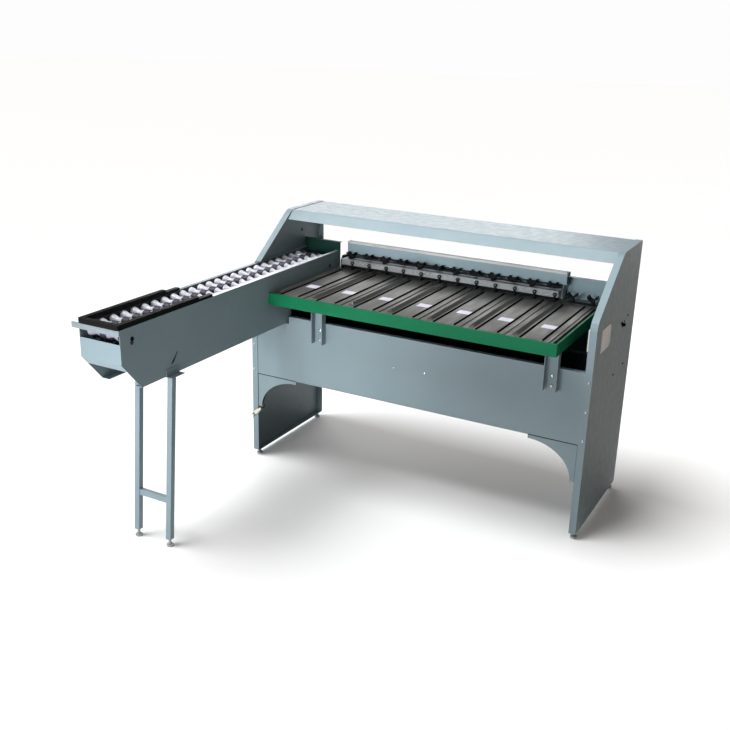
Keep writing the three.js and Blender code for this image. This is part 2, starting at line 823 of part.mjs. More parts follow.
function addDrive() {
  const chainLeft = troughLeft + sprocketSetIn;
  const chain = chainOutline(fit + chainDepth);
  chain.holes.push(chainOutline(fit));
  addPiece("drive_chain", slabX(chain, chainLeft, chainLeft + sprocketThickness, 6), darkSteel);

  const gearboxLeft = chainLeft + sprocketThickness + outputGap;
  const shaft = rodX(driveY, motorHeight, outputShaft, chainLeft - sheet, gearboxLeft - fit, 12);
  const small = toothedDisc(driveY, motorHeight, motorSprocketRadius, chainLeft);
  addPiece("motor_sprocket", join(shaft, small), darkSteel);

  const half = gearboxSide / 2;
  const gearboxRight = gearboxLeft + gearboxWidth;
  const box = rectangle(driveY - half, driveY + half, motorHeight - half, motorHeight + half, gearboxCorner);
  const gearbox = slabX(box, gearboxLeft, gearboxRight);
  const motor = rodX(driveY, motorHeight, motorRadius, gearboxRight, gearboxRight + motorLength, 16);
  const footTop = motorHeight - half;
  const foot = block(
    innerLeft,
    gearboxRight + motorLength / 2,
    driveY - half,
    driveY + half,
    footTop - motorFootThickness,
    footTop,
  );
  const riser = block(
    innerLeft,
    innerLeft + motorFootThickness,
    driveY - half,
    driveY + half,
    footTop - motorFootDrop,
    footTop,
  );
  addPiece("gearmotor", join(gearbox, motor, foot, riser), darkSteel);
}

// Stand: two leaning legs with a cross rail, sheared so that their ends stay level
function addStand() {
  const plateTop = troughBottom - fit;
  const legTop = plateTop - sheet - fit;
  const standFootY = troughFront + standFootSetBack;
  const lean = (standTopSetBack - standFootSetBack) / legTop;
  const shear = new THREE.Matrix4().makeShear(0, 0, 0, 0, 0, lean);
  const half = legSide / 2;
  const leaning = (geometry) => toSolid(geometry.applyMatrix4(shear));
  const legs = standLegs.map((x) => {
    const leg = new THREE.BoxGeometry(legSide, legSide, legTop - legBottom);
    return leaning(leg.translate(x, standFootY, (legTop + legBottom) / 2));
  });
  const gap = standLegs[1] - standLegs[0];
  const rail = new THREE.BoxGeometry(gap, legSide - 2 * legWall, legSide);
  rail.translate((standLegs[0] + standLegs[1]) / 2, standFootY, standRail + half);
  addPiece("stand_frame", join(...legs, leaning(rail)), paint);

  const standPlateFront = troughFront + standPlateSetBack;
  const standPlateRear = standPlateFront + standPlateDepth;
  const plate = block(
    standPlateLeft,
    standLegs[1] + half,
    standPlateFront,
    standPlateRear,
    plateTop - sheet,
    plateTop,
  );
  const tab = block(
    troughRight + fit,
    troughRight + fit + sheet,
    standPlateFront,
    standPlateRear,
    plateTop - sheet,
    plateTop + standPlateTab,
  );
  addPiece("stand_bracket", join(plate, tab), paint);

  const names = ["stand_foot_left", "stand_foot_right"];
  standLegs.forEach((x, i) => {
    const y = standFootY + lean * legBottom;
    const disc = rodZ(x, y, discFootRadius, 0, discFootHeight, 12);
    addPiece(names[i], join(disc, rodZ(x, y, discFootStem, 0, legBottom - fit, 8)), rubber);
  });
}

// Table: deck with lane ridges, lane plates, green rim and what carries them
function addTable() {
  const rodHeight = deckHeight - sheet - fit - supportRodRadius;
  const rodHole = rodX(
    supportRodY,
    rodHeight,
    supportRodRadius + fit,
    deckRight - sheet - overrun,
    rimRight + overrun,
  );
  const baseFront = ridgeRear + baseSetBack;
  const deckSection = foldedSheet(
    [
      [baseFront - fit, deckHeight],
      [deckFront, deckHeight],
      [deckFront, deckHeight - deckLip],
    ],
    sheet,
  );
  const rightLip = block(
    deckRight - sheet,
    deckRight,
    deckFront,
    baseFront - fit,
    deckHeight - deckLip,
    deckHeight,
  );
  const ridges = Array.from({ length: laneCount }, (_, i) => {
    const crest = laneStart + i * lanePitch + (i ? 0 : ridgeLeft / 2);
    const section = outline([
      [crest - ridgeLeft, deckHeight - sheet / 2],
      [crest + ridgeRight, deckHeight - sheet / 2],
      [crest + ridgeRight, deckHeight],
      [crest, deckHeight + ridgeRise],
      [crest - ridgeLeft, deckHeight],
    ]);
    return slabY(section, ridgeFront, ridgeRear);
  });
  const deck = join(slabX(deckSection, deckLeft, deckRight), cut(rightLip, rodHole), ...ridges);
  addPiece("table_deck", deck, brushed);
  const base = join(
    block(deckLeft, deckRight, baseFront, deckRear, deckHeight - sheet, deckHeight),
    block(deckLeft, deckRight, baseFront, baseFront + sheet, deckHeight - baseLip, deckHeight),
    block(deckLeft, deckRight, deckRear - sheet, deckRear, deckHeight - baseLip, deckHeight),
  );
  addPiece("mechanism_base", base, brushed);

  const plateWidth = lanePitch * lanePlateShare;
  for (let i = 0; i < laneCount; i += 1) {
    const middle = laneStart + (i + 0.5) * lanePitch;
    const lane = rectangle(
      middle - plateWidth / 2,
      middle + plateWidth / 2,
      lanePlateFront,
      lanePlateRear,
      lanePlateCorner,
    );
    const plate = slabZ(lane, deckHeight, deckHeight + lanePlateThickness, 2);
    addPiece(`lane_plate_${i + 1}`, plate, brushed);
  }

  const rimFront = deckFront - fit - sheet;
  const frontSection = foldedSheet(
    [
      [rimFront + rimHem, rimTop],
      [rimFront, rimTop],
      [rimFront, rimBottom],
      [rimFront + rimFoot, rimBottom],
    ],
    sheet,
  );
  const rightSection = foldedSheet(
    [
      [rimRight - rimFoot, rimBottom],
      [rimRight, rimBottom],
      [rimRight, rimTop],
      [rimRight - rimHem, rimTop],
    ],
    sheet,
  );
  const rimSide = cut(slabY(rightSection, rimFront, rimRear), rodHole);
  addPiece("table_rim", join(slabX(frontSection, troughRight + fit, rimRight), rimSide), greenPaint);

  const names = ["table_bracket_left", "table_bracket_right"];
  [bracketLeft, machineWidth - bracketRightInset].forEach((x, i) => {
    const face = apronFace - fit;
    const section = foldedSheet(
      [
        [x + bracketWidth / 2, face - bracketFlange],
        [x + bracketWidth / 2, face],
        [x - bracketWidth / 2, face],
        [x - bracketWidth / 2, face - bracketFlange],
      ],
      sheet,
    );
    addPiece(names[i], slabZ(section, bracketBottom, deckHeight - sheet - fit), paint);
  });

  const beam = foldedSheet(
    [
      [beamFront + beamLip, beamTop],
      [beamFront, beamTop],
      [beamFront, beamBottom],
      [beamFront + beamLip, beamBottom],
    ],
    sheet,
  );
  addPiece("table_support_beam", slabX(beam, troughRight + fit, innerRight), paint);
  const rod = rodX(supportRodY, rodHeight, supportRodRadius, troughRight + fit, innerRight);
  addPiece("table_support_rod", rod, darkSteel);
}

// A fork with two prongs, drawn in (X, Z) with its base at the given height
function fork(x, front, base) {
  const shape = new THREE.Shape();
  shape.moveTo(x - forkBase, base);
  shape.lineTo(x + forkBase, base);
  shape.quadraticCurveTo(x + forkHalf, base + forkRise / 3, x + forkHalf, base + forkRise);
  shape.lineTo(x + forkHalf - forkWall, base + forkRise);
  shape.quadraticCurveTo(x + forkBase, base + forkWall, x, base + forkWall);
  shape.quadraticCurveTo(x - forkBase, base + forkWall, x - forkHalf + forkWall, base + forkRise);
  shape.lineTo(x - forkHalf, base + forkRise);
  shape.quadraticCurveTo(x - forkHalf, base + forkRise / 3, x - forkBase, base);
  shape.closePath();
  return slabY(shape, front, front + forkWall, 2);
}

// Two stations stand before each lane.
const station = (index) => laneStart + (index + 0.5) * stationPitch;

function addMechanism() {
  const shelfLeft = coverLeft + sheet + fit;
  const shelfRight = coverCheek - fit;
  const underShelf = shelfHeight - sheet;
  const shelf = join(
    block(shelfLeft, shelfRight, shelfFront, shelfRear, underShelf, shelfHeight),
    block(shelfLeft, shelfRight, shelfFront, shelfFront + sheet, shelfHeight - shelfLip, shelfHeight),
    block(shelfLeft, shelfRight, shelfRear - sheet, shelfRear, deckHeight + fit, shelfHeight),
    block(
      shelfLeft,
      shelfRight,
      shelfRear - sheet,
      shelfRear + shelfFoot,
      deckHeight + fit,
      deckHeight + fit + sheet,
    ),
  );
  addPiece("cradle_shelf", shelf, bright);

  const coverSection = foldedSheet(
    [
      [coverRear, coverTop - coverRearLip],
      [coverRear, coverTop],
      [coverFront, coverTop],
      [coverFront, coverBottom],
    ],
    sheet,
    coverBend,
  );
  const cheeks = [coverLeft, coverCheek].map((x) =>
    block(x, x + sheet, coverFront, coverRear, deckHeight + fit, coverTop),
  );
  const cover = join(slabX(coverSection, coverLeft, coverRight), ...cheeks);
  addPiece("mechanism_cover", cover, paint);
  addPiece("lever_pivot_rod", rodX(pivotY, pivotZ, pivotRadius, shelfLeft, shelfRight, 10), darkSteel);

  const half = leverWidth / 2;
  const cradle = (x, low) => [
    ...forkPlaces.map((y) => fork(x, y, leverLow)),
    block(x - half, x + half, leverFront, strandRear, low, leverLow + leverThickness),
  ];
  const restForks = [];
  for (let i = 0; i < stationCount; i += 2) restForks.push(...cradle(station(i), shelfHeight));
  const strand = block(
    station(0) - strandOverhang,
    station(stationCount - 1) + strandOverhang,
    strandFront,
    strandRear,
    shelfHeight,
    shelfHeight + strandHeight,
  );
  addPiece("rest_cradles", join(strand, ...restForks), blackPlastic);

  for (let i = 1; i < stationCount; i += 2) {
    const x = station(i);
    const lever = join(
      ...cradle(x, leverLow),
      block(x - half, x + half, strandFront, weightRear, leverLow, leverLow + leverThickness),
      rodX(pivotY, pivotZ, hubRadius, x - hubWidth / 2, x + hubWidth / 2, 8),
      block(
        x - weightWidth / 2,
        x + weightWidth / 2,
        weightFront,
        weightRear,
        pivotZ - weightHeight / 2,
        pivotZ + weightHeight / 2,
      ),
    );
    const bore = rodX(pivotY, pivotZ, pivotRadius + fit, x - hubWidth, x + hubWidth, 8);
    addPiece(`weigh_lever_${(i + 1) / 2}`, cut(lever, bore), blackPlastic);
  }

  const outletStations = Array.from({ length: outletCount }, (_, i) => station(stationCount + i));
  const outletBase = deckHeight + fit;
  const outlet = [
    block(
      outletStations[0] - strandOverhang,
      outletStations[outletCount - 1] + strandOverhang,
      outletPostFront,
      outletRear,
      outletBase,
      outletBase + strandHeight,
    ),
  ];
  const armLow = outletBase + outletRise - leverThickness;
  for (const x of outletStations) {
    outlet.push(block(x - half, x + half, outletPostFront, outletRear, outletBase, armLow));
    outlet.push(block(x - half, x + half, outletFront, outletRear, armLow, armLow + leverThickness));
    for (const y of forkPlaces) outlet.push(fork(x, y, armLow));
  }
  addPiece("outlet_forks", join(...outlet), blackPlastic);
}

function addTransfer() {
  const left = station(0) - stepBeamOverhang;
  const right = station(stationCount - 1) + stepBeamOverhang;
  const carriageLeft = left + carriageInset;
  const carriageRight = right - carriageInset;
  const middle = (carriageFront + carriageRear) / 2;
  const base = deckHeight + fit;
  const pins = guidePinShares.map((share) => carriageLeft + share * (carriageRight - carriageLeft));
  const carriage = join(
    block(carriageLeft, carriageRight, carriageFront, carriageRear, base, base + carriageHeight),
    ...pins.map((x) => rodZ(x, middle, guidePinRadius, base, base + guidePinHeight, 10)),
  );
  addPiece("transfer_carriage", carriage, darkSteel);

  const pieces = [block(left, right, stepBeamFront, stepBeamRear, stepBeamLow, stepBeamHigh)];
  const lugLow = base + carriageHeight + fit;
  for (const x of pins) {
    pieces.push(rodZ(x, middle, lugRadius, lugLow, stepBeamHigh, 10));
    pieces.push(block(x - lugRadius, x + lugRadius, stepBeamFront, middle, lugLow, stepBeamHigh));
  }
  for (let i = 0; i < stationCount; i += 1) {
    const x = station(i) + hookLead;
    const half = hookArm / 2;
    const ring = new THREE.Shape().absarc(x, hookCentre, hookRadius, 0, 2 * Math.PI);
    ring.holes.push(new THREE.Path().absarc(x, hookCentre, hookBore, 0, 2 * Math.PI));
    const ringLow = hookCentre - hookRadius + hookArm / 4;
    pieces.push(block(x - half, x + half, hookFront, stepBeamFront, stepBeamLow, stepBeamLow + hookArm));
    pieces.push(block(x - half, x + half, hookFront, hookFront + hookWall, stepBeamLow, ringLow));
    pieces.push(slabY(ring, hookFront, hookFront + hookWall, 3));
  }
  const bores = pins.map((x) =>
    rodZ(x, middle, guidePinRadius + fit, stepBeamLow - overrun, stepBeamHigh + overrun, 10),
  );
  addPiece("transfer_beam", cut(join(...pieces), ...bores), blackPlastic);

  const cams = camShares.map((share) => {
    const x = deckLeft + share * (deckRight - deckLeft);
    return rodX(camShaftY, camShaftZ + camOffset, camRadius, x, x + camWidth, 12);
  });
  const camShaft = rodX(camShaftY, camShaftZ, camShaftRadius, innerLeft, innerRight, 10);
  addPiece("cam_shaft", join(camShaft, ...cams), darkSteel);
}

// Plug parked at the left flange, and its lead up to the gearmotor
function addLead() {
  const body = new THREE.CylinderGeometry(plugRadius * plugTaperShare, plugRadius, plugLength, 8);
  const pieces = [toSolid(body)];
  for (const side of [-pinSpread, pinSpread]) {
    const pin = new THREE.CylinderGeometry(pinRadius, pinRadius, pinLength + overrun, 6);
    pieces.push(toSolid(pin.translate(side, -(plugLength + pinLength) / 2, 0)));
  }
  const placed = new THREE.Matrix4()
    .makeTranslation(plugX, plugY, plugZ)
    .multiply(new THREE.Matrix4().makeRotationX(Math.PI / 2 - plugTilt / 2))
    .multiply(new THREE.Matrix4().makeRotationZ(-plugTilt));
  addPiece("power_plug", join(...pieces).transform(placed.elements), creamPlastic);

  const start = new THREE.Vector3(0, plugLength / 2 + fit, 0).applyMatrix4(placed);
  const along = new THREE.Vector3(0, plugLength, 0).applyMatrix4(placed);
  const gearboxFront = driveY - gearboxSide / 2 - fit;
  const route = new THREE.CatmullRomCurve3([
    start,
    along,
    ...[leadEntry, leadBehind, leadRise, leadTop].map((place) => new THREE.Vector3(...place)),
    new THREE.Vector3(leadTop[0], gearboxFront - plugLength, motorHeight),
    new THREE.Vector3(leadTop[0], gearboxFront, motorHeight),
  ]);
  const section = new THREE.Shape().absarc(0, 0, leadRadius, 0, 2 * Math.PI);
  const lead = new THREE.ExtrudeGeometry(section, {
    steps: 26,
    extrudePath: route,
    curveSegments: 3,
    bevelEnabled: false,
  });
  addPiece("power_lead", toSolid(lead), rubber);
}

addFrame();
addTrough();
addRollers();
addDrive();
addStand();
addTable();
addMechanism();
addTransfer();
addLead();

// The origin is under the middle of the machine, on the floor.
const extent = new THREE.Box3().setFromObject(machine);
const middle = extent.getCenter(new THREE.Vector3());
machine.position.set(-middle.x, -middle.y, -extent.min.z);

export default machine;
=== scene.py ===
# Egg grading machine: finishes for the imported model, rollers, trim, small fasteners, floor, light
# and camera. Metres, X to the right along the table, Y to the rear, Z up.
import math

import bmesh
import bpy
import numpy as np
from mathutils import Matrix, Vector


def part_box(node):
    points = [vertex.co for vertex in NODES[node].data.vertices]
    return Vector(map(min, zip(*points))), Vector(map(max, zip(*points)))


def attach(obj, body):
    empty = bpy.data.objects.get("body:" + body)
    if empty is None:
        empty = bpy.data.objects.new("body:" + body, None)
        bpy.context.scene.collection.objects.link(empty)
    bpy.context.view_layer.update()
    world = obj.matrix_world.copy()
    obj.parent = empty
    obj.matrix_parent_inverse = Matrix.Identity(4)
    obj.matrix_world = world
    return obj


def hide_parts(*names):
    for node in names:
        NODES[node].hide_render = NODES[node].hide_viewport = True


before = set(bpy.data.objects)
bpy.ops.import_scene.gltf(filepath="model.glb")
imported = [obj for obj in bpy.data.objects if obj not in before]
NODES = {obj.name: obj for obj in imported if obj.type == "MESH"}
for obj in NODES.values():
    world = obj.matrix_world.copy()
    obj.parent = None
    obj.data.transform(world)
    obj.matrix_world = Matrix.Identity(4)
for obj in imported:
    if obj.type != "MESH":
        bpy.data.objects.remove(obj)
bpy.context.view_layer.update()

MM = 0.001
TURN = 2 * math.pi
RIGHTWARD, BACKWARD, UPWARD = (1, 0, 0), (0, 1, 0), (0, 0, 1)
LEFTWARD, FORWARD = (-1, 0, 0), (0, -1, 0)
LANES = range(1, 8)
LEVERS = range(1, 7)
FRAME_FEET = [f"frame_foot_{end}_{side}" for side in ("left", "right") for end in ("front", "rear")]

# Driving places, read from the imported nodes
left_frame_low, left_frame_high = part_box("left_end_frame")
machine_left = left_frame_low.x
machine_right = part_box("right_end_frame")[1].x
machine_front = left_frame_low.y
machine_rear = left_frame_high.y
trough_low, trough_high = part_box("conveyor_right_side")
deck_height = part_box("mechanism_base")[1].z


def at(x, y, z):
    """A place in millimetres from the machine's left face, its front face and the floor."""
    return (machine_left + x * MM, machine_front + y * MM, z * MM)


# Camera

CAMERA_RIGHT = 2159.4 * MM  # from the machine's left face
CAMERA_FORWARD = 3022.67 * MM  # in front of the machine's front face
CAMERA_HEIGHT = 1731.22 * MM
CAMERA_AZIMUTH = 28.448
CAMERA_ELEVATION = 19.716
CAMERA_ROLL = 1.417
CAMERA_LENS = 47.37
CAMERA_REACH = 100
SENSOR = 36


def add_camera():
    """The camera at the photograph's place and angle."""
    azimuth, elevation = math.radians(CAMERA_AZIMUTH), math.radians(CAMERA_ELEVATION)
    back = Vector(
        (
            math.sin(azimuth) * math.cos(elevation),
            -math.cos(azimuth) * math.cos(elevation),
            math.sin(elevation),
        )
    )
    data = bpy.data.cameras.new("camera")
    data.lens = CAMERA_LENS
    data.sensor_width = SENSOR
    data.clip_end = CAMERA_REACH
    camera = bpy.data.objects.new("camera", data)
    bpy.context.scene.collection.objects.link(camera)
    camera.rotation_mode = "QUATERNION"
    level = (-back).to_track_quat("-Z", "Y")
    roll = Matrix.Rotation(math.radians(CAMERA_ROLL), 4, "Z").to_quaternion()
    camera.rotation_quaternion = level @ roll
    camera.location = (machine_left + CAMERA_RIGHT, machine_front - CAMERA_FORWARD, CAMERA_HEIGHT)
    bpy.context.scene.camera = camera


# Materials

SPECK_LIFT = 26  # of the colour of dust specks over the enamel's, of 255
WORN_LIFT = 48  # of the colour of worn edges
STAIN_SHARE = 0.86  # of the metal's colour, in its stains


def linear(colour):
    """Eight-bit screen colour to linear light."""
    shares = np.array(colour) / 255
    return [*np.where(shares < 0.04045, shares / 12.92, ((shares + 0.055) / 1.055) ** 2.4), 1]


def lighter(colour, lift):
    """A colour with each channel raised by the lift."""
    return [min(255, channel + lift) for channel in colour]


class Finish:
    """A Principled material and the few node recipes that the finishes share."""

    def __init__(self, name, colour, roughness, metallic=0.0, coat=0.0):
        self.material = bpy.data.materials.new(name)
        self.material.use_nodes = True
        self.tree = self.material.node_tree
        self.shader = self.tree.nodes["Principled BSDF"]
        self.shader.inputs["Base Color"].default_value = linear(colour)
        self.shader.inputs["Roughness"].default_value = roughness
        self.shader.inputs["Metallic"].default_value = metallic
        self.shader.inputs["Coat Weight"].default_value = coat
        self.place = self.node("ShaderNodeTexCoord").outputs["Object"]
        self.colour = None
        self.bumps = []

    def node(self, kind, **settings):
        made = self.tree.nodes.new(kind)
        for name, value in settings.items():
            setattr(made, name, value)
        return made

    def link(self, source, target):
        self.tree.links.new(source, target)

    def noise(self, scale, detail=3.0, stretch=(1, 1, 1), roughness=0.55):
        mapping = self.node("ShaderNodeMapping")
        mapping.inputs["Scale"].default_value = stretch
        self.link(self.place, mapping.inputs["Vector"])
        noise = self.node("ShaderNodeTexNoise")
        noise.inputs["Scale"].default_value = scale
        noise.inputs["Detail"].default_value = detail
        noise.inputs["Roughness"].default_value = roughness
        self.link(mapping.outputs["Vector"], noise.inputs["Vector"])
        return noise.outputs["Fac"]

    def ramp(self, source, low, high, stops=(0.35, 0.65)):
        ramp = self.node("ShaderNodeMapRange")
        ramp.inputs["From Min"].default_value = stops[0]
        ramp.inputs["From Max"].default_value = stops[1]
        ramp.inputs["To Min"].default_value = low
        ramp.inputs["To Max"].default_value = high
        self.link(source, ramp.inputs["Value"])
        return ramp.outputs["Result"]

    def mix(self, share, first, second):
        """Colours first and second, mixed by the share socket; either may be a socket."""
        mix = self.node("ShaderNodeMix", data_type="RGBA")
        self.link(share, mix.inputs["Factor"])
        for socket, value in ((mix.inputs[6], first), (mix.inputs[7], second)):
            if isinstance(value, bpy.types.NodeSocket):
                self.link(value, socket)
            else:
                socket.default_value = linear(value)
        self.colour = mix.outputs[2]
        return self.colour

    def roughen(self, source, low, high):
        """Roughness that runs from low to high with the source."""
        self.link(self.ramp(source, low, high), self.shader.inputs["Roughness"])

    def bump(self, source, strength, distance):
        bump = self.node("ShaderNodeBump")
        bump.inputs["Strength"].default_value = strength
        bump.inputs["Distance"].default_value = distance
        self.link(source, bump.inputs["Height"])
        if self.bumps:
            self.link(self.bumps[-1].outputs["Normal"], bump.inputs["Normal"])
        self.bumps.append(bump)

    def worn_edges(self, radius, colour, share):
        """A lighter tone in broken patches along the edges.

        An edge is where the normal, rounded over a small radius, leaves the true one.
        """
        rounded = self.node("ShaderNodeBevel", samples=4)
        rounded.inputs["Radius"].default_value = radius
        turn = self.node("ShaderNodeVectorMath", operation="DOT_PRODUCT")
        self.link(rounded.outputs["Normal"], turn.inputs[0])
        self.link(self.node("ShaderNodeNewGeometry").outputs["Normal"], turn.inputs[1])
        edge = self.ramp(turn.outputs["Value"], low=share, high=0.0, stops=(0.8, 0.97))
        patches = self.ramp(self.noise(scale=48, detail=4), low=0.25, high=1.0, stops=(0.4, 0.6))
        both = self.node("ShaderNodeMath", operation="MULTIPLY")
        self.link(edge, both.inputs[0])
        self.link(patches, both.inputs[1])
        self.mix(both.outputs["Value"], self.colour, colour)

    def done(self):
        if self.colour is not None:
            self.link(self.colour, self.shader.inputs["Base Color"])
        if self.bumps:
            self.link(self.bumps[-1].outputs["Normal"], self.shader.inputs["Normal"])
        return self.material


def painted_sheet(name, colour, shade, roughness=0.42, gloss=0.3):
    """Baked enamel: faint clouds of tone, orange peel, and dust that dulls it in patches."""
    finish = Finish(name, colour, roughness, coat=0.06)
    finish.shader.inputs["Coat Roughness"].default_value = 0.3
    finish.shader.inputs["Specular IOR Level"].default_value = gloss
    clouds = finish.ramp(finish.noise(scale=2.6, detail=4), low=0.0, high=1.0)
    base = finish.mix(clouds, colour, shade)
    specks = finish.ramp(finish.noise(scale=900, detail=2), low=0.0, high=0.35, stops=(0.68, 0.78))
    finish.mix(specks, base, lighter(colour, SPECK_LIFT))
    finish.worn_edges(radius=1.2 * MM, colour=lighter(colour, WORN_LIFT), share=0.7)
    finish.roughen(finish.noise(scale=34, detail=5), roughness - 0.07, roughness + 0.1)
    finish.bump(finish.noise(scale=420, detail=2), strength=0.08, distance=0.6 * MM)
    return finish.done()


def brushed_metal(name, colour, shade, stretch, roughness=0.38, metallic=0.9):
    """Fine parallel scratches along the axis that the stretch leaves coarse, with cloudy stains."""
    finish = Finish(name, colour, roughness, metallic)
    scratches = finish.noise(scale=260, detail=3, stretch=stretch)
    stains = finish.ramp(finish.noise(scale=9, detail=5), low=0.0, high=0.8, stops=(0.4, 0.7))
    base = finish.mix(finish.ramp(scratches, low=0.0, high=1.0), colour, shade)
    finish.mix(stains, base, [channel * STAIN_SHARE for channel in colour])
    finish.roughen(scratches, roughness - 0.1, roughness + 0.14)
    finish.bump(scratches, strength=0.12, distance=0.3 * MM)
    return finish.done()


def moulded_plastic(name, colour, shade, roughness, grain=600, gloss=0.5):
    """Moulded plastic: a slight change of tone, a fine skin and scuffs."""
    finish = Finish(name, colour, roughness)
    finish.shader.inputs["Specular IOR Level"].default_value = gloss
    clouds = finish.ramp(finish.noise(scale=14, detail=4), low=0.0, high=1.0)
    finish.mix(clouds, colour, shade)
    scuffs = finish.noise(scale=70, detail=6, stretch=(1, 0.3, 1))
    finish.roughen(scuffs, roughness - 0.08, roughness + 0.15)
    finish.bump(finish.noise(scale=grain, detail=2), strength=0.1, distance=0.4 * MM)
    return finish.done()


def speckled_sheet():
    """Rolled zinc sheet: mid grey with fine light and dark grain and dull patches."""
    finish = Finish("speckled_sheet", (96, 96, 94), 0.45, metallic=0.45)
    grain = finish.ramp(finish.noise(scale=1400, detail=3), low=0.0, high=1.0, stops=(0.38, 0.62))
    base = finish.mix(grain, (88, 88, 86), (120, 120, 117))
    patches = finish.ramp(finish.noise(scale=5, detail=4), low=0.0, high=0.6)
    finish.mix(patches, base, (88, 86, 82))
    finish.roughen(finish.noise(scale=60, detail=4, stretch=(1, 0.1, 1)), 0.4, 0.58)
    finish.bump(grain, strength=0.05, distance=0.2 * MM)
    return finish.done()


def make_materials():
    """Every finish: its colour, the colour of its clouds, then what sets it apart."""
    sheet, metal, plastic = painted_sheet, brushed_metal, moulded_plastic
    return {
        "paint": sheet("grey_blue_enamel", (130, 147, 154), (124, 142, 150)),
        "green": sheet("green_enamel", (4, 104, 68), (3, 96, 61), 0.5, 0.12),
        "lane": speckled_sheet(),
        "dark_steel": metal("dark_steel", (70, 72, 76), (50, 52, 56), (0.1, 1, 1), 0.42),
        # The end guard: the green enamel darkened, painted shade
        "guard": sheet("shade_painted_green_enamel", (10, 50, 40), (8, 42, 34), 0.5, 0.12),
        # The trough's steel edge strip, painted white: a painted highlight for its sheen
        "strip": sheet("painted_sheen_edge_strip", (238, 240, 244), (224, 228, 233), 0.3, 0.5),
        # The band along the cover's top edge: lighter than the paint, a painted highlight of the
        # bend
        "cover_highlight": sheet("painted_highlight_cover_band", (196, 193, 188), (184, 181, 176), 0.4, 0.3),
        "black": plastic("black_plastic", (5, 5, 6), (10, 10, 12), 0.5, gloss=0.12),
        "white": plastic("white_nylon", (222, 222, 230), (204, 204, 218), 0.26),
        # The return run's rollers: the white nylon darkened, painted shade of the space under the
        # upper run
        "shaded": plastic("shade_painted_return_nylon", (70, 70, 90), (54, 54, 74), 0.45, gloss=0.3),
        # The turns' rollers: the white nylon darkened, painted shade rather than a different
        # plastic
        "dull": plastic("shade_painted_turn_nylon", (168, 168, 182), (146, 146, 162), 0.4, gloss=0.3),
        "bar": metal("bar_steel", (150, 160, 168), (130, 140, 148), (0.05, 1, 1), 0.34, 0.4),
        "shelf": metal("stained_shelf", (160, 163, 165), (122, 125, 127), (0.3, 1, 1), 0.4, 0.45),
        "hub": plastic("dark_blue_hub", (38, 40, 62), (28, 30, 48), 0.45),
        "seam": plastic("seam_rubber", (14, 16, 17), (24, 26, 27), 0.8, grain=300, gloss=0.0),
        "rubber": plastic("black_rubber", (20, 20, 20), (30, 30, 30), 0.75, grain=300),
        "cream": plastic("cream_plastic", (208, 205, 190), (194, 191, 176), 0.4),
        "label": plastic("blank_card", (215, 212, 226), (202, 198, 216), 0.55),
        "plate": plastic("blank_beige_plate", (236, 234, 232), (222, 220, 217), 0.45),
        "switch": plastic("pale_switch_box", (214, 212, 204), (200, 198, 190), 0.45),
        "foot": metal("grey_foot", (176, 178, 180), (148, 150, 152), (1, 1, 1), 0.42, 0.3),
        "screw": metal("zinc_screw", (204, 206, 210), (172, 174, 180), (1, 1, 1), 0.25),
    }


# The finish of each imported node; a node that isn't named has the grey-blue paint
NODE_FINISHES = {
    "green": ["table_rim"],
    # painted shade: the end guard takes the darkened green enamel
    "guard": ["conveyor_end_guard"],
    "lane": ["table_deck", "mechanism_base", *[f"lane_plate_{i}" for i in LANES]],
    "bar": ["conveyor_front_bar"],
    "shelf": ["cradle_shelf"],
    "dark_steel": [
        *["left_chain_guide", "right_chain_guide", "drive_chain", "motor_sprocket", "gearmotor"],
        *["table_support_rod", "lever_pivot_rod", "transfer_carriage", "cam_shaft"],
    ],
    "black": [
        *["loading_frame", "rest_cradles", "outlet_forks", "transfer_beam"],
        *[f"weigh_lever_{i}" for i in LEVERS],
    ],
    "white": ["roller_run", "idler_shaft", "drive_shaft"],
    # painted shade: the return run takes the darkened copy of the white nylon
    "shaded": ["return_run"],
    "rubber": ["power_lead"],
    "foot": ["stand_foot_left", "stand_foot_right", *FRAME_FEET],
    "cream": ["power_plug"],
}


def dress_nodes(materials):
    """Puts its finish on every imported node."""
    finish_of = {node: finish for finish, nodes in NODE_FINISHES.items() for node in nodes}
    for name, node in NODES.items():
        material = materials[finish_of.get(name, "paint")]
        if not node.material_slots:
            node.data.materials.append(material)
        for slot in node.material_slots:
            slot.material = material


# Surfaces

WELD = 1e-6
SHARP_ANGLE = math.radians(35)


def add_mesh(name, points, faces, material, body, slot, smooth=False, bevel=0.0):
    """A mesh piece that rides on a body, with normals pointing out."""
    mesh = bpy.data.meshes.new(name)
    mesh.from_pydata(points, [], faces)
    tidy = bmesh.new()
    tidy.from_mesh(mesh)
    bmesh.ops.remove_doubles(tidy, verts=tidy.verts, dist=WELD)
    bmesh.ops.recalc_face_normals(tidy, faces=tidy.faces)
    tidy.to_mesh(mesh)
    tidy.free()
    mesh.materials.append(material)
    if smooth:
        mesh.shade_smooth()
        mesh.set_sharp_from_angle(angle=SHARP_ANGLE)
    piece = bpy.data.objects.new(name, mesh)
    bpy.context.scene.collection.objects.link(piece)
    if bevel:
        rounding = piece.modifiers.new("rounded_edges", "BEVEL")
        rounding.width = bevel
        rounding.segments = 2
    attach(piece, body)
    return piece


def add_fixed(name, shape, material, slot, smooth=False, bevel=0.0):
    """A piece that stands still on the machine's frame."""
    return add_mesh(name, *shape, material, "machine_frame", slot, smooth, bevel)


def grid_faces(rows, columns):
    """Four-sided faces between neighbouring rings, whose points are numbered ring by ring."""
    i, j = np.meshgrid(np.arange(rows - 1), np.arange(columns), indexing="ij")
    a, b = i * columns + j, i * columns + (j + 1) % columns
    return np.stack([a, b, b + columns, a + columns], -1).reshape(-1, 4).tolist()


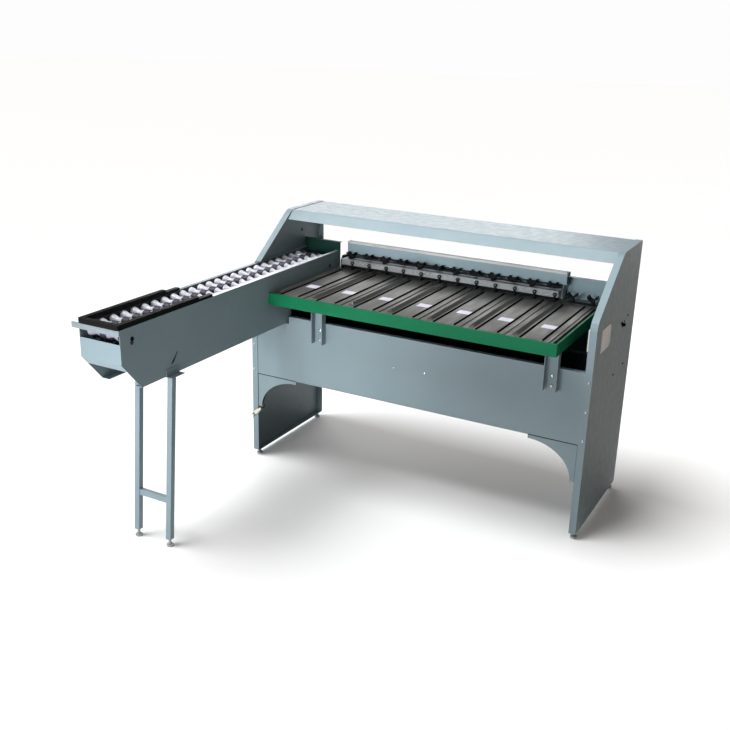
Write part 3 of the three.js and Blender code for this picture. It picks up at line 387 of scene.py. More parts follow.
def capped_rings(points, rows, columns):
    """A surface through rings of points, with a flat cap on its first and its last ring."""
    caps = [list(range(columns)), list(range((rows - 1) * columns, rows * columns))]
    return points, grid_faces(rows, columns) + caps


def prism_shape(outline, x_low, x_high):
    """An outline of (y, z) places, closed between two places along X."""
    count = len(outline)
    sides = [np.column_stack([np.full(count, x), outline]) for x in (x_low, x_high)]
    caps = [list(range(count)), list(range(2 * count - 1, count - 1, -1))]
    return np.concatenate(sides), grid_faces(2, count) + caps


def revolved(profile, sides, origin, axis):
    """Points (along, radius) of a profile turned about an axis through the origin.

    Point (i, j) lies at origin + along_i * axis + radius_i * (cos a_j * u + sin a_j * v),
    with a_j = 2 pi j / sides. Ends on the axis close the surface.
    """
    axis = np.array(axis, float)
    u = np.array((0, 0, 1.0)) if abs(axis[2]) < 0.9 else np.array((1.0, 0, 0))
    u -= axis * u.dot(axis)
    u /= np.linalg.norm(u)
    v = np.cross(axis, u)
    along, radius = np.array(profile, float).T
    angle = np.arange(sides) * TURN / sides
    ring = np.cos(angle)[:, None] * u + np.sin(angle)[:, None] * v
    points = np.array(origin) + along[:, None, None] * axis + radius[:, None, None] * ring
    return points.reshape(-1, 3), grid_faces(len(profile), sides)


def cylinder_shape(place, axis, radius, length, sides):
    """A plain cylinder that starts at a place and runs along an axis."""
    profile = [(0, 0), (0, radius), (length, radius), (length, 0)]
    return revolved(profile, sides, place, axis)


def drum_profile(length, radius, rim):
    """The outline of a drum whose two rims are cut back by the same step along and inwards."""
    near = [(0, 0), (0, radius - rim), (rim, radius)]
    return near + [(length - along, reach) for along, reach in reversed(near)]


def box_shape(low, high):
    """Corners and faces of a block between two corners."""
    low, high = np.array(low, float), np.array(high, float)
    share = np.array([[x, y, z] for x in (0, 1) for y in (0, 1) for z in (0, 1)])
    faces = [(0, 1, 3, 2), (4, 6, 7, 5), (0, 4, 5, 1), (2, 3, 7, 6), (0, 2, 6, 4), (1, 5, 7, 3)]
    return low + share * (high - low), faces


def gather(shapes):
    """Several (points, faces) shapes as one pair of lists."""
    points, faces, start = [], [], 0
    for shape_points, shape_faces in shapes:
        points.extend(map(tuple, shape_points))
        faces.extend([tuple(int(k) + start for k in face) for face in shape_faces])
        start += len(shape_points)
    return points, faces


# Rollers

ROLLER_PITCH = 50 * MM
ROLLERS_PER_RUN = 24
ROLLER_LENGTH = 60 * MM
ROLLER_GAP = 6 * MM
ROLLER_RADIUS = 17 * MM
ROLLER_WAIST = 10 * MM
ROLLER_RIM = 2.5 * MM
ROLLER_CHAMFER = 0.8 * MM
RETURN_SHAFT_RISE = 13.75 * MM  # of the shafts over the return run's lower side
SHAFT_RADIUS = 4 * MM
SLEEVE_LENGTH = 27 * MM
SLEEVE_RADIUS = ROLLER_RADIUS + 0.4 * MM
SLEEVE_RIM = 1.5 * MM
LINK_THICKNESS = 1.2 * MM
LINK_RADIUS = 5.2 * MM
LINK_MARGIN = 0.3 * MM  # between the outer plates and the ends of the shafts


def roller_shape(centre, sides=24):
    """One waisted roller: its radius runs from the rims to the waist along a cosine."""
    half = ROLLER_LENGTH / 2
    inner = np.linspace(-half + ROLLER_RIM, half - ROLLER_RIM, 13)
    fall = (1 + np.cos(inner / (half - ROLLER_RIM) * math.pi)) / 2
    waist = ROLLER_RADIUS - (ROLLER_RADIUS - ROLLER_WAIST) * fall
    rim = [
        (half - ROLLER_CHAMFER, ROLLER_RADIUS),
        (half, ROLLER_RADIUS - ROLLER_CHAMFER),
        (half, 0),
    ]
    mirrored = [(-along, radius) for along, radius in reversed(rim)]
    return revolved([*mirrored, *zip(inner, waist), *rim], sides, centre, RIGHTWARD)


def roller_pair_shapes(y, z, middle):
    """The two rollers of one shaft."""
    offset = (ROLLER_LENGTH + ROLLER_GAP) / 2
    return [roller_shape((middle + side * offset, y, z)) for side in (-1, 1)]


def sleeve_shape(middle, y, z):
    """The dark sleeve between the two rollers of a shaft, with both rims cut back."""
    profile = drum_profile(SLEEVE_LENGTH, SLEEVE_RADIUS, SLEEVE_RIM)
    return revolved(profile, 24, (middle - SLEEVE_LENGTH / 2, y, z), RIGHTWARD)


def shaft_shape(low, high, y, z, radius=SHAFT_RADIUS, sides=12):
    """A shaft across the conveyor, between two places along X."""
    return cylinder_shape((low, y, z), RIGHTWARD, radius, high - low, sides)


def link_shapes(x, y_low, y_high, z):
    """Round-ended chain plates, half a pitch long, every other one set over by its thickness."""
    shapes = []
    step = ROLLER_PITCH / 2
    turn = np.linspace(-math.pi / 2, math.pi / 2, 7)
    across, up = LINK_RADIUS * np.cos(turn), LINK_RADIUS * np.sin(turn)
    for i, start in enumerate(np.arange(y_low, y_high - step, step)):
        end = min(start + step, y_high)
        right = np.stack([end - LINK_RADIUS + across, z + up], -1)
        left = np.stack([start + LINK_RADIUS - across, z - up], -1)
        side = x + LINK_THICKNESS * (i % 2)
        shapes.append(prism_shape(np.concatenate([right, left]), side, side + LINK_THICKNESS))
    return shapes


def add_rollers(materials):
    """Rounder rollers, shafts and chain plates in place of the upper run and the return run."""
    for node, body in (("roller_run", "roller_chain_upper"), ("return_run", "roller_chain_return")):
        low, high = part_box(node)
        middle = (low.x + high.x) / 2
        z = (low.z + high.z) / 2 if node == "roller_run" else low.z + RETURN_SHAFT_RISE
        centres = np.arange(ROLLERS_PER_RUN) * ROLLER_PITCH + low.y + ROLLER_RADIUS
        rollers = [shape for y in centres for shape in roller_pair_shapes(y, z, middle)]
        # The return run's rollers take the darkened nylon, painted shade
        nylon = materials["white" if node == "roller_run" else "shaded"]
        piece = add_mesh(node + "_rollers", *gather(rollers), nylon, body, "white_plastic", True)
        sleeves = gather([sleeve_shape(middle, y, z) for y in centres])
        add_mesh(node + "_sleeves", *sleeves, materials["hub"], body, "black_plastic", True)
        steel = [shaft_shape(low.x, high.x, y, z) for y in centres]
        for x in (low.x + LINK_MARGIN, high.x - LINK_MARGIN - 2 * LINK_THICKNESS):
            steel += link_shapes(x, low.y, high.y, z)
        chain = gather(steel)
        add_mesh(node + "_chain", *chain, materials["dark_steel"], body, "dark_steel", True)
        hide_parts(node)


# Turns of the conveyor at both ends

AXLE_HEIGHT = 771.2 * MM
TURN_RADIUS = 31.83 * MM  # of the rollers' path round either shaft
IDLER_Y = -877 * MM  # from the machine's front
DRIVE_Y = 323 * MM
AXLE_RADIUS = 9 * MM
HUB_RADIUS = 14 * MM
HUB_LENGTH = 34 * MM
HUB_RIM = 2 * MM
ARM_WIDTH = 9 * MM
ARM_THICKNESS = 4 * MM
ARM_CLEARANCE = 2 * MM  # beside the rollers
TOOTH_COUNT = 12
TOOTH_STEPS = 8
TOOTH_SQUARENESS = 2.2
WHEEL_ROOT = 24 * MM
WHEEL_TIP = 29 * MM
WHEEL_THICKNESS = 4 * MM
WHEEL_INSET = 6.3 * MM  # from the drive shaft's left end


def arm_shape(x, y, z, angle, reach):
    """A flat arm in the plane of the wheel.

    Its outline is a bar with one round end, from the axle to the reach, turned by the angle.
    """
    turn = np.linspace(-math.pi / 2, math.pi / 2, 7)
    half = ARM_WIDTH / 2
    tip = np.stack([reach + half * np.cos(turn), half * np.sin(turn)], -1)
    outline = np.concatenate([tip, [(0, half), (0, -half)]])
    cosine, sine = math.cos(angle), math.sin(angle)
    outline = outline @ np.array([[cosine, sine], [-sine, cosine]]) + (y, z)
    return prism_shape(outline, x, x + ARM_THICKNESS)


def sprocket_shape(x, y, z):
    """A toothed wheel.

    Its radius swings between root and tip as tanh(k * cos(teeth * angle)) / tanh(k) does between
    -1 and 1, a square wave with round corners.
    """
    steps = TOOTH_COUNT * TOOTH_STEPS
    angle = np.arange(steps) * TURN / steps
    wave = np.tanh(TOOTH_SQUARENESS * np.cos(angle * TOOTH_COUNT)) / math.tanh(TOOTH_SQUARENESS)
    radius = (WHEEL_ROOT + WHEEL_TIP) / 2 + (WHEEL_TIP - WHEEL_ROOT) / 2 * wave
    outline = np.stack([y + radius * np.cos(angle), z + radius * np.sin(angle)], -1)
    return prism_shape(outline, x, x + WHEEL_THICKNESS)


def add_turns(materials):
    """Shafts with a dark hub, arms and two pairs of rollers, in place of the plain ones."""
    eighth = math.pi / 4
    middle = (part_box("idler_shaft")[0].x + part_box("idler_shaft")[1].x) / 2
    reach = ROLLER_LENGTH + ROLLER_GAP / 2 + ARM_CLEARANCE
    arms_low, arms_high = middle - reach - ARM_THICKNESS, middle + reach
    for node, body, y, angles in (
        ("idler_shaft", "conveyor_idler", IDLER_Y, (3 * eighth, 5 * eighth)),
        ("drive_shaft", "conveyor_drive", DRIVE_Y, (eighth, -eighth)),
    ):
        low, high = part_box(node)
        y += machine_front
        places = [
            (y + TURN_RADIUS * math.cos(angle), AXLE_HEIGHT + TURN_RADIUS * math.sin(angle))
            for angle in angles
        ]
        rollers = [shape for place in places for shape in roller_pair_shapes(*place, middle)]
        steel = [shaft_shape(low.x, high.x, y, AXLE_HEIGHT, AXLE_RADIUS, 24)]
        steel += [shaft_shape(arms_low, arms_high + ARM_THICKNESS, *place) for place in places]
        for angle in angles:
            for x in (arms_low, arms_high):
                steel.append(arm_shape(x, y, AXLE_HEIGHT, angle, TURN_RADIUS))
        if node == "drive_shaft":
            steel.append(sprocket_shape(low.x + WHEEL_INSET, y, AXLE_HEIGHT))
        profile = drum_profile(HUB_LENGTH, HUB_RADIUS, HUB_RIM)
        hubs = [revolved(profile, 24, (middle - HUB_LENGTH / 2, y, AXLE_HEIGHT), RIGHTWARD)]
        hubs += [sleeve_shape(middle, *place) for place in places]
        for ending, shapes, finish, slot in (
            # the turns' rollers take the darkened white nylon, painted shade
            ("_rollers", rollers, "dull", "white_plastic"),
            ("_steel", steel, "dark_steel", "dark_steel"),
            ("_hub", hubs, "hub", "black_plastic"),
        ):
            piece = add_mesh(node + ending, *gather(shapes), materials[finish], body, slot, True)
            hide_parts(node)


# Screws, in millimetres from the machine's left face, its front face and the floor

APRON_SCREWS = ((643, 512), (770, 513))  # across and up
FLANGE_INSET = 9  # of the middle of the end frames' flanges
FRONT_SCREW_HEIGHTS = (385, 492, 599)
REAR_SCREW_HEIGHTS = (360, 500, 640, 790)
BRACKET_LEFT = 320  # middle of the left table bracket
BRACKET_RIGHT_INSET = 138  # of the right one's, from the machine's right face
BRACKET_SHEET = 2
BRACKET_SCREW_HEIGHTS = (564, 601)
SIDE_SCREWS = ((420, 547), (286, 544))  # back and up, on both end frames
MECHANISM_NUTS = ((328, 727), (352, 716), (372, 711))  # on the right one
MECHANISM_SCREWS = ((341, 712), (366, 725), (410, 738))
IDLER_NUT = (-877, 783)
SIDE_HOLE = (371, 895)  # through the left end frame, shown as dark discs of painted shade
FRAME_SHEET = 2

# Radius and height of each kind
APRON_HEAD = (5 * MM, 2.6 * MM)
FLANGE_HEAD = (4.6 * MM, 2.6 * MM)
BRACKET_HEAD = (6.4 * MM, 3.6 * MM)
LEFT_HEAD = (4 * MM, 1.8 * MM)
RIGHT_HEAD = (4 * MM, 2 * MM)
SIDE_NUT = (6.4 * MM, 4 * MM)
WASHER = (7 * MM, 1.5 * MM)
SMALL_NUT = (5 * MM, 4 * MM)
FOOT_NUT = (7 * MM, 5 * MM)
HOLE = (6 * MM, 0.3 * MM)
FOOT_NUT_DROP = 7 * MM  # below the top of a foot's stem
NUT_DRAW_SHARE = 0.12  # of a nut's radius, by which its corners are drawn in
HEAD_RIM_SHARE = 0.35  # of a head's height, up to which its rim is straight


def screw_shape(place, axis, radius, height):
    """A domed head: its radius falls from the rim to the top along a quarter ellipse."""
    angle = np.linspace(0, math.pi / 2, 6)
    rise = height * (HEAD_RIM_SHARE + (1 - HEAD_RIM_SHARE) * np.sin(angle))
    dome = np.stack([rise, radius * np.cos(angle)], -1)
    profile = [(0, 0), (0, radius), *map(tuple, dome[:-1]), (height, 0)]
    return revolved(profile, 20, place, axis)


def nut_shape(place, axis, radius, height):
    """A six-sided nut with its corners drawn in at both faces."""
    return revolved(drum_profile(height, radius, NUT_DRAW_SHARE * radius), 6, place, axis)


def add_screws(materials):
    """Bright heads on the panels, dark nuts and heads on the sides, and the feet's lock nuts."""
    right = (machine_right - machine_left) / MM
    flanges = (FLANGE_INSET, right - FLANGE_INSET)
    apron = (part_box("front_apron")[0].y - machine_front) / MM
    bracket = (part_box("table_bracket_left")[1].y - machine_front) / MM - BRACKET_SHEET
    rear = (machine_rear - machine_front) / MM
    places = [(x, apron, z, FORWARD, APRON_HEAD) for x, z in APRON_SCREWS]
    places += [(x, 0, z, FORWARD, FLANGE_HEAD) for x in flanges for z in FRONT_SCREW_HEIGHTS]
    for x in (BRACKET_LEFT, right - BRACKET_RIGHT_INSET):
        places += [(x, bracket, z, FORWARD, BRACKET_HEAD) for z in BRACKET_SCREW_HEIGHTS]
    places += [(0, y, z, LEFTWARD, LEFT_HEAD) for y, z in SIDE_SCREWS]
    places += [(x, rear, z, BACKWARD, FLANGE_HEAD) for x in flanges for z in REAR_SCREW_HEIGHTS]
    heads = gather([screw_shape(at(x, y, z), axis, *size) for x, y, z, axis, size in places])
    add_fixed("panel_screws", heads, materials["screw"], "bright_steel", True)

    dark = [nut_shape(at(right, y, z), RIGHTWARD, *SIDE_NUT) for y, z in MECHANISM_NUTS]
    for y, z in MECHANISM_SCREWS + SIDE_SCREWS:
        dark.append(screw_shape(at(right, y, z), RIGHTWARD, *RIGHT_HEAD))
    trough = (trough_high.x - machine_left) / MM
    dark.append(cylinder_shape(at(trough, *IDLER_NUT), RIGHTWARD, *WASHER, 24))
    dark.append(nut_shape(at(trough + WASHER[1] / MM, *IDLER_NUT), RIGHTWARD, *SMALL_NUT))
    # Dark discs on both faces of the left end frame: painted shade for the hole through it
    for x, axis in ((0, LEFTWARD), (FRAME_SHEET, RIGHTWARD)):
        dark.append(cylinder_shape(at(x, *SIDE_HOLE), axis, *HOLE, 20))
    add_fixed("side_bolts", gather(dark), materials["seam"], "dark_steel", True)

    nuts = []
    for low, high in map(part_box, FRAME_FEET):
        place = ((low.x + high.x) / 2, (low.y + high.y) / 2, high.z - FOOT_NUT_DROP)
        nuts.append(nut_shape(place, UPWARD, *FOOT_NUT))
    add_fixed("foot_nuts", gather(nuts), materials["screw"], "bright_steel", True)


# Labels

CARD_SPAN = (14 * MM, 68 * MM)  # from a lane plate's left edge
CARD_DEPTH = (40 * MM, 80 * MM)  # behind the machine's front face
CARD_THICKNESS = 0.6 * MM
PLATE_DEPTH = (67 * MM, 179 * MM)  # behind the machine's front face
PLATE_HEIGHTS = (686 * MM, 769 * MM)
PLATE_CUT = 14 * MM
PLATE_THICKNESS = 0.8 * MM


def add_labels(materials):
    """Blank cards on the lanes, and a blank plate with two cut corners on the right side."""
    cards = []
    front, rear = (machine_front + depth for depth in CARD_DEPTH)
    for i in LANES:
        low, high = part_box(f"lane_plate_{i}")
        left, right = (low.x + place for place in CARD_SPAN)
        cards.append(box_shape((left, front, high.z), (right, rear, high.z + CARD_THICKNESS)))
    add_fixed("lane_cards", gather(cards), materials["label"], "white_plastic", bevel=0.3 * MM)

    front, rear = (machine_front + depth for depth in PLATE_DEPTH)
    bottom, top = PLATE_HEIGHTS
    outline = [
        (front, bottom),
        (rear - PLATE_CUT, bottom),
        (rear, bottom + PLATE_CUT),
        (rear, top - PLATE_CUT),
        (rear - PLATE_CUT, top),
        (front, top),
    ]
    plate = prism_shape(outline, machine_right, machine_right + PLATE_THICKNESS)
    add_fixed("side_plate", plate, materials["plate"], "cream_plastic", bevel=0.2 * MM)


# Strips between the lanes

STRIP_WIDTH = 7.5 * MM
STRIP_HEIGHT = 4.2 * MM
STRIP_ON_PLATE = 69.0 * MM  # of a strip's middle from the plate's left edge
STRIP_BESIDE_PLATE = 10.5 * MM  # of a strip's middle left of the plate
STRIP_MARGIN = 4 * MM  # from a strip's ends to the ends of the sheet below it
STRIP_END_SHARES = np.array([0, 0.35, 1])  # of the width, along the rounded end
STRIP_SWELL_SHARES = np.array([0.35, 0.8, 1])  # of the full section there
EDGE_INSET = 20 * MM  # of the flat strip of painted shade from the deck's right edge
EDGE_WIDTH = 17 * MM
EDGE_HEIGHT = 2.2 * MM
EDGE_MARGIN = 6 * MM  # from the deck's front


def strip_shape(x, y_low, y_high, base):
    """A half-round strip along Y: half an ellipse in section, with swelling shares at its ends."""
    angle = np.linspace(0, math.pi, 9)
    along = STRIP_END_SHARES * STRIP_WIDTH
    places = np.concatenate([y_low + along, (y_high - along)[::-1]])
    shares = np.concatenate([STRIP_SWELL_SHARES, STRIP_SWELL_SHARES[::-1]])
    across = x - shares[:, None] * STRIP_WIDTH / 2 * np.cos(angle)
    up = base + shares[:, None] * STRIP_HEIGHT * np.sin(angle)
    points = np.stack([across, np.broadcast_to(places[:, None], across.shape), up], -1)
    return capped_rings(points.reshape(-1, 3), *across.shape)


def add_lane_strips(materials):
    """Dark strips that guide the lanes: one beside each plate on the deck, one along its top."""
    strips = []
    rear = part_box("mechanism_base")[0].y - STRIP_MARGIN
    for i in LANES:
        low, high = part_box(f"lane_plate_{i}")
        front = low.y + STRIP_MARGIN
        strips.append(strip_shape(low.x - STRIP_BESIDE_PLATE, front, rear, low.z))
        strips.append(strip_shape(low.x + STRIP_ON_PLATE, front, high.y - STRIP_MARGIN, high.z))
    # A flat black strip along the deck's right edge: painted shade of the gap between deck and rim
    low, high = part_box("table_deck")
    left, front = high.x - EDGE_INSET, low.y + EDGE_MARGIN
    corner = (left + EDGE_WIDTH, rear, deck_height + EDGE_HEIGHT)
    strips.append(box_shape((left, front, deck_height), corner))
    add_fixed("lane_strips", gather(strips), materials["seam"], "rubber", True)


# Cups

CUP_HALF = 14 * MM
CUP_THICKNESS = 2.6 * MM
CUP_RISE = 14 * MM  # of its lower side at the forks' rims, which stand CUP_FORK from the middle
CUP_FORK = 15 * MM
CUP_LENGTH = 31 * MM
CUP_DEPTH = 13.8 * MM  # from a lever's highest point to the middle of its cup
CUP_INSET = 1 * MM  # from a lever's front


def cup_shape(x, y_low, y_high, low):
    """A cup laid in a cradle's forks: its section is a parabola from the middle to both rims."""
    across = np.linspace(-1, 1, 9) * CUP_HALF
    under = low + CUP_RISE * (across / CUP_FORK) ** 2
    lower = np.stack([across, under], -1)
    section = np.concatenate([lower, (lower + (0, CUP_THICKNESS))[::-1]])
    count = len(section)
    ends = [
        np.column_stack([x + section[:, 0], np.full(count, y), section[:, 1]])
        for y in (y_low, y_high)
    ]
    near = [[i, i + 1, count - 2 - i, count - 1 - i] for i in range(len(across) - 1)]
    far = [[count + k for k in face[::-1]] for face in near]
    return np.concatenate(ends), grid_faces(2, count) + near + far


def add_cups(materials):
    """Black cups on the weigh levers, which ride with them, and on the rest cradles."""
    boxes = [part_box(f"weigh_lever_{i}") for i in LEVERS]
    middles = [(low.x + high.x) / 2 for low, high in boxes]
    step = (middles[1] - middles[0]) / 2
    front = boxes[0][0].y + CUP_INSET
    rear = front + CUP_LENGTH
    seat = boxes[0][1].z - CUP_DEPTH
    black, bevel = materials["black"], 0.5 * MM
    for i, x in zip(LEVERS, middles):
        cup = cup_shape(x, front, rear, seat)
        add_mesh(f"lever_cup_{i}", *cup, black, f"lever_{i}", "black_plastic", bevel=bevel)
    rests = gather([cup_shape(x - step, front, rear, seat) for x in middles])
    add_fixed("rest_cups", rests, black, "black_plastic", bevel=bevel)


# Seams of the front panels, darkened with painted shade

SEAM_PROUD = 0.5 * MM
SEAM_BELOW = 1.2 * MM
SEAM_ABOVE = 1.5 * MM
SEAM_HALF = 1.2 * MM
FLANGE_JOINT = 23 * MM  # from a gusset's outer edge
HEM_PROUD = 0.9 * MM
HEM_HEIGHT = 4.5 * MM


def add_seams(materials):
    """Painted shade along the joints of apron, gussets and flanges, and the apron's lower hem."""
    apron_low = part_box("front_apron")[0]
    face = apron_low.y
    inside = face + MM
    seams = []
    for node in ("left_gusset", "right_gusset"):
        low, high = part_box(node)
        joint = high.z
        corner = (low.x, face - SEAM_PROUD, joint - SEAM_BELOW)
        seams.append(box_shape(corner, (high.x, inside, joint + SEAM_ABOVE)))
        middle = low.x + FLANGE_JOINT if node == "left_gusset" else high.x - FLANGE_JOINT
        corner = (middle - SEAM_HALF, face - SEAM_PROUD, low.z)
        seams.append(box_shape(corner, (middle + SEAM_HALF, inside, joint)))
    left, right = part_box("left_gusset")[1].x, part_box("right_gusset")[0].x
    corner = (left, face - HEM_PROUD, apron_low.z)
    hem = gather([box_shape(corner, (right, inside, apron_low.z + HEM_HEIGHT))])
    # The dark joint strips are painted shade of the gaps between the panels
    add_fixed("panel_seam_shade", gather(seams), materials["seam"], "rubber")
    add_fixed("apron_hem", hem, materials["paint"], "grey_paint", bevel=0.4 * MM)


# Switch box behind the right flange, with a rocker let into its left face: name, two corners in
# millimetres, finish, slot and the radius of its edges
SWITCH_PIECES = (
    ("switch_box", (1360, 3, 706), (1387, 24, 784), "switch", "cream_plastic", 2.2 * MM),
    ("rocker_frame", (1358.6, 6, 730), (1360.4, 21, 760), "black", "black_plastic", 0.6 * MM),
    ("switch_rocker", (1356.6, 8, 733), (1359, 19, 757), "seam", "black_plastic", 0.9 * MM),
)


def add_switch_box(materials):
    """The small moulded switch box, its rocker's frame and the rocker."""
    for name, low, high, finish, slot, bevel in SWITCH_PIECES:
        add_fixed(name, box_shape(at(*low), at(*high)), materials[finish], slot, bevel=bevel)


# Trim of the trough and of the mechanism's cover

EDGE_STRIP_SPAN = (13 * MM, 1 * MM)  # left of the trough's right side
SLOT_DEPTH = (226 * MM, 278 * MM)  # behind the trough's front
SLOT_RISE = (25 * MM, 82 * MM)  # over its lower edge
SLOT_INSET = 2.3 * MM
SLOT_BACKING = 1.5 * MM
SLOT_BOLT = (238 * MM, 37 * MM)
SLOT_BOLT_HEAD = (2.6 * MM, 2.2 * MM)
# The lighter band along the cover's top is a painted highlight of its bend
COVER_HIGHLIGHT_HEIGHT = 8 * MM
COVER_HIGHLIGHT_PROUD = 0.6 * MM
COVER_HIGHLIGHT_END = 6 * MM  # short of the cover's right end
COVER_LAP = 2 * MM
COVER_EDGE = 0.3 * MM  # of the highlight band and the dark line past the cover's sheet
END_SEAM_WIDTH = 2.5 * MM
END_SEAM_PROUD = 0.4 * MM
FEED_OUTLINE = ((-42, 0.3), (-42, 30), (-28, 50), (-4, 50), (-4, 0.3))  # back and up
FEED_LAP = 0.6 * MM  # into the gaps beside the guard and the shelf


def add_trim(materials):
    """Small fixed pieces of the trough and of the mechanism's cover."""
    # A pale strip on the trough's right flange, behind the loading frame: bright steel whose sheen
    # is painted in as white, a painted highlight
    left, right = (trough_high.x - inset for inset in EDGE_STRIP_SPAN)
    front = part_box("loading_frame")[1].y + MM
    rear = trough_high.y - MM
    top = trough_high.z
    strip = box_shape((left, front, top), (right, rear, top + MM))
    add_fixed("trough_edge_strip", strip, materials["strip"], "bright_steel", bevel=0.4 * MM)

    # A plate behind the adjusting slot, with its bolt
    face = trough_high.x - SLOT_INSET
    front, rear = (trough_low.y + depth for depth in SLOT_DEPTH)
    bottom, top = (trough_low.z + rise for rise in SLOT_RISE)
    backing = box_shape((face - SLOT_BACKING, front, bottom), (face, rear, top))
    add_fixed("slot_backing", backing, materials["seam"], "dark_steel")
    place = (face, trough_low.y + SLOT_BOLT[0], trough_low.z + SLOT_BOLT[1])
    bolt = screw_shape(place, RIGHTWARD, *SLOT_BOLT_HEAD)
    add_fixed("slot_bolt", bolt, materials["screw"], "bright_steel", True)

    # A lighter band along the cover's top, painted highlight of its top bend, and the dark line at
    # its right end
    low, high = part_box("mechanism_cover")
    hem = box_shape(
        (low.x + COVER_LAP, low.y - COVER_HIGHLIGHT_PROUD, high.z - COVER_HIGHLIGHT_HEIGHT),
        (high.x - COVER_HIGHLIGHT_END, low.y + COVER_LAP, high.z + COVER_EDGE),
    )
    add_fixed("cover_top_highlight", hem, materials["cover_highlight"], "grey_paint", bevel=0.5 * MM)
    line = box_shape(
        (high.x - END_SEAM_WIDTH, low.y - END_SEAM_PROUD, low.z + COVER_LAP),
        (high.x + COVER_EDGE, low.y + COVER_LAP, high.z - COVER_HIGHLIGHT_HEIGHT),
    )
    add_fixed("cover_end_seam", line, materials["seam"], "rubber")

    # A black block between the trough's rear end and the shelf
    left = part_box("conveyor_end_guard")[1].x + FEED_LAP
    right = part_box("cradle_shelf")[0].x - FEED_LAP
    outline = [(low.y + y * MM, deck_height + z * MM) for y, z in FEED_OUTLINE]
    block = prism_shape(outline, left, right)
    add_fixed("feed_block", block, materials["black"], "black_plastic", bevel=0.8 * MM)


# Plug and lead, in millimetres

PLUG_PLACE = (36, -16, 210)
PLUG_TILT = 0.75
PLUG_LENGTH = 34
PLUG_SHARES = np.array([0, 0.02, 0.12, 0.45, 0.62, 0.8, 0.94, 1.0])  # along, from the pins
PLUG_HALF_WIDTHS = np.array([7.4, 8.8, 9.6, 9.4, 6.8, 6.4, 5.4, 3.6])
PLUG_HALF_HEIGHTS = np.array([5.2, 6.2, 6.8, 6.6, 5.2, 5.0, 4.6, 3.4])
PLUG_FULLNESS = 0.8  # power of the cosine and sine in its sections, below 1 for fuller corners
PIN_PLACES = (-5, 5)
PIN_ROOT = 0.5  # inside the body
PIN_RADIUS = 2
PIN_PROFILE = ((0, 0), (0, 1), (15, 1), (16.6, 0.6), (17, 0))  # length, share of the radius
LEAD_ROUTE = [(44, 9, 244), (49, 12, 266), (55, 18, 292), (50, 60, 410), (42, 170, 505)]
LEAD_END_HEIGHT = 520  # at the gearbox
LEAD_RADIUS = 3
LEAD_ROOT = 1  # inside the plug


def plug_axes():
    """The plug's own axes: X across both pins, Y towards the lead.

    They are turned by the tilt about Z, then by a right angle less half the tilt about X.
    """
    lean = Matrix.Rotation(math.pi / 2 - PLUG_TILT / 2, 4, "X")
    lean = lean @ Matrix.Rotation(-PLUG_TILT, 4, "Z")
    return Matrix.Translation(Vector(at(*PLUG_PLACE))) @ lean


def plug_body_shape():
    """A moulded body: each ring is an ellipse with full corners.

    Its half widths follow the body from the pins to the lead, and its places are
    width * sign(cos a) * |cos a| ** fullness and height * sign(sin a) * |sin a| ** fullness.
    """
    angle = np.arange(24) * TURN / 24
    cosine, sine = np.cos(angle), np.sin(angle)
    across = PLUG_HALF_WIDTHS[:, None] * np.sign(cosine) * np.abs(cosine) ** PLUG_FULLNESS
    up = PLUG_HALF_HEIGHTS[:, None] * np.sign(sine) * np.abs(sine) ** PLUG_FULLNESS
    along = np.broadcast_to(((PLUG_SHARES - 0.5) * PLUG_LENGTH)[:, None], across.shape)
    local = np.stack([across, along, up], -1).reshape(-1, 3) * MM
    turn = np.array(plug_axes())
    return capped_rings(local @ turn[:3, :3].T + turn[:3, 3], *across.shape)


def tube_shape(route, radius, sides=12, steps=12):
    """A round tube along a smooth curve through the route.

    Between two places the curve is the cubic that passes through both, with slopes of half the
    chord between their neighbours; each ring stands square to the curve.
    """
    places = np.array(route, float)
    padded = np.concatenate([[2 * places[0] - places[1]], places, [2 * places[-1] - places[-2]]])
    t = np.linspace(0, 1, steps, endpoint=False)[:, None]
    before, start, end, after = (padded[k : len(padded) - 3 + k, None] for k in range(4))
    slope_in, slope_out = (end - before) / 2, (after - start) / 2
    curve = (
        (2 * t**3 - 3 * t**2 + 1) * start
        + (t**3 - 2 * t**2 + t) * slope_in
        + (3 * t**2 - 2 * t**3) * end
        + (t**3 - t**2) * slope_out
    ).reshape(-1, 3)
    curve = np.concatenate([curve, places[-1:]])
    tangent = np.gradient(curve, axis=0)
    tangent /= np.linalg.norm(tangent, axis=1)[:, None]
    side = np.cross(tangent, np.array((1.0, 0.25, 0)))
    side /= np.linalg.norm(side, axis=1)[:, None]
    other = np.cross(tangent, side)
    angle = np.arange(sides) * TURN / sides
    ring = np.cos(angle)[:, None] * side[:, None] + np.sin(angle)[:, None] * other[:, None]
    points = (curve[:, None] + radius * ring).reshape(-1, 3)
    return capped_rings(points, len(curve), sides)


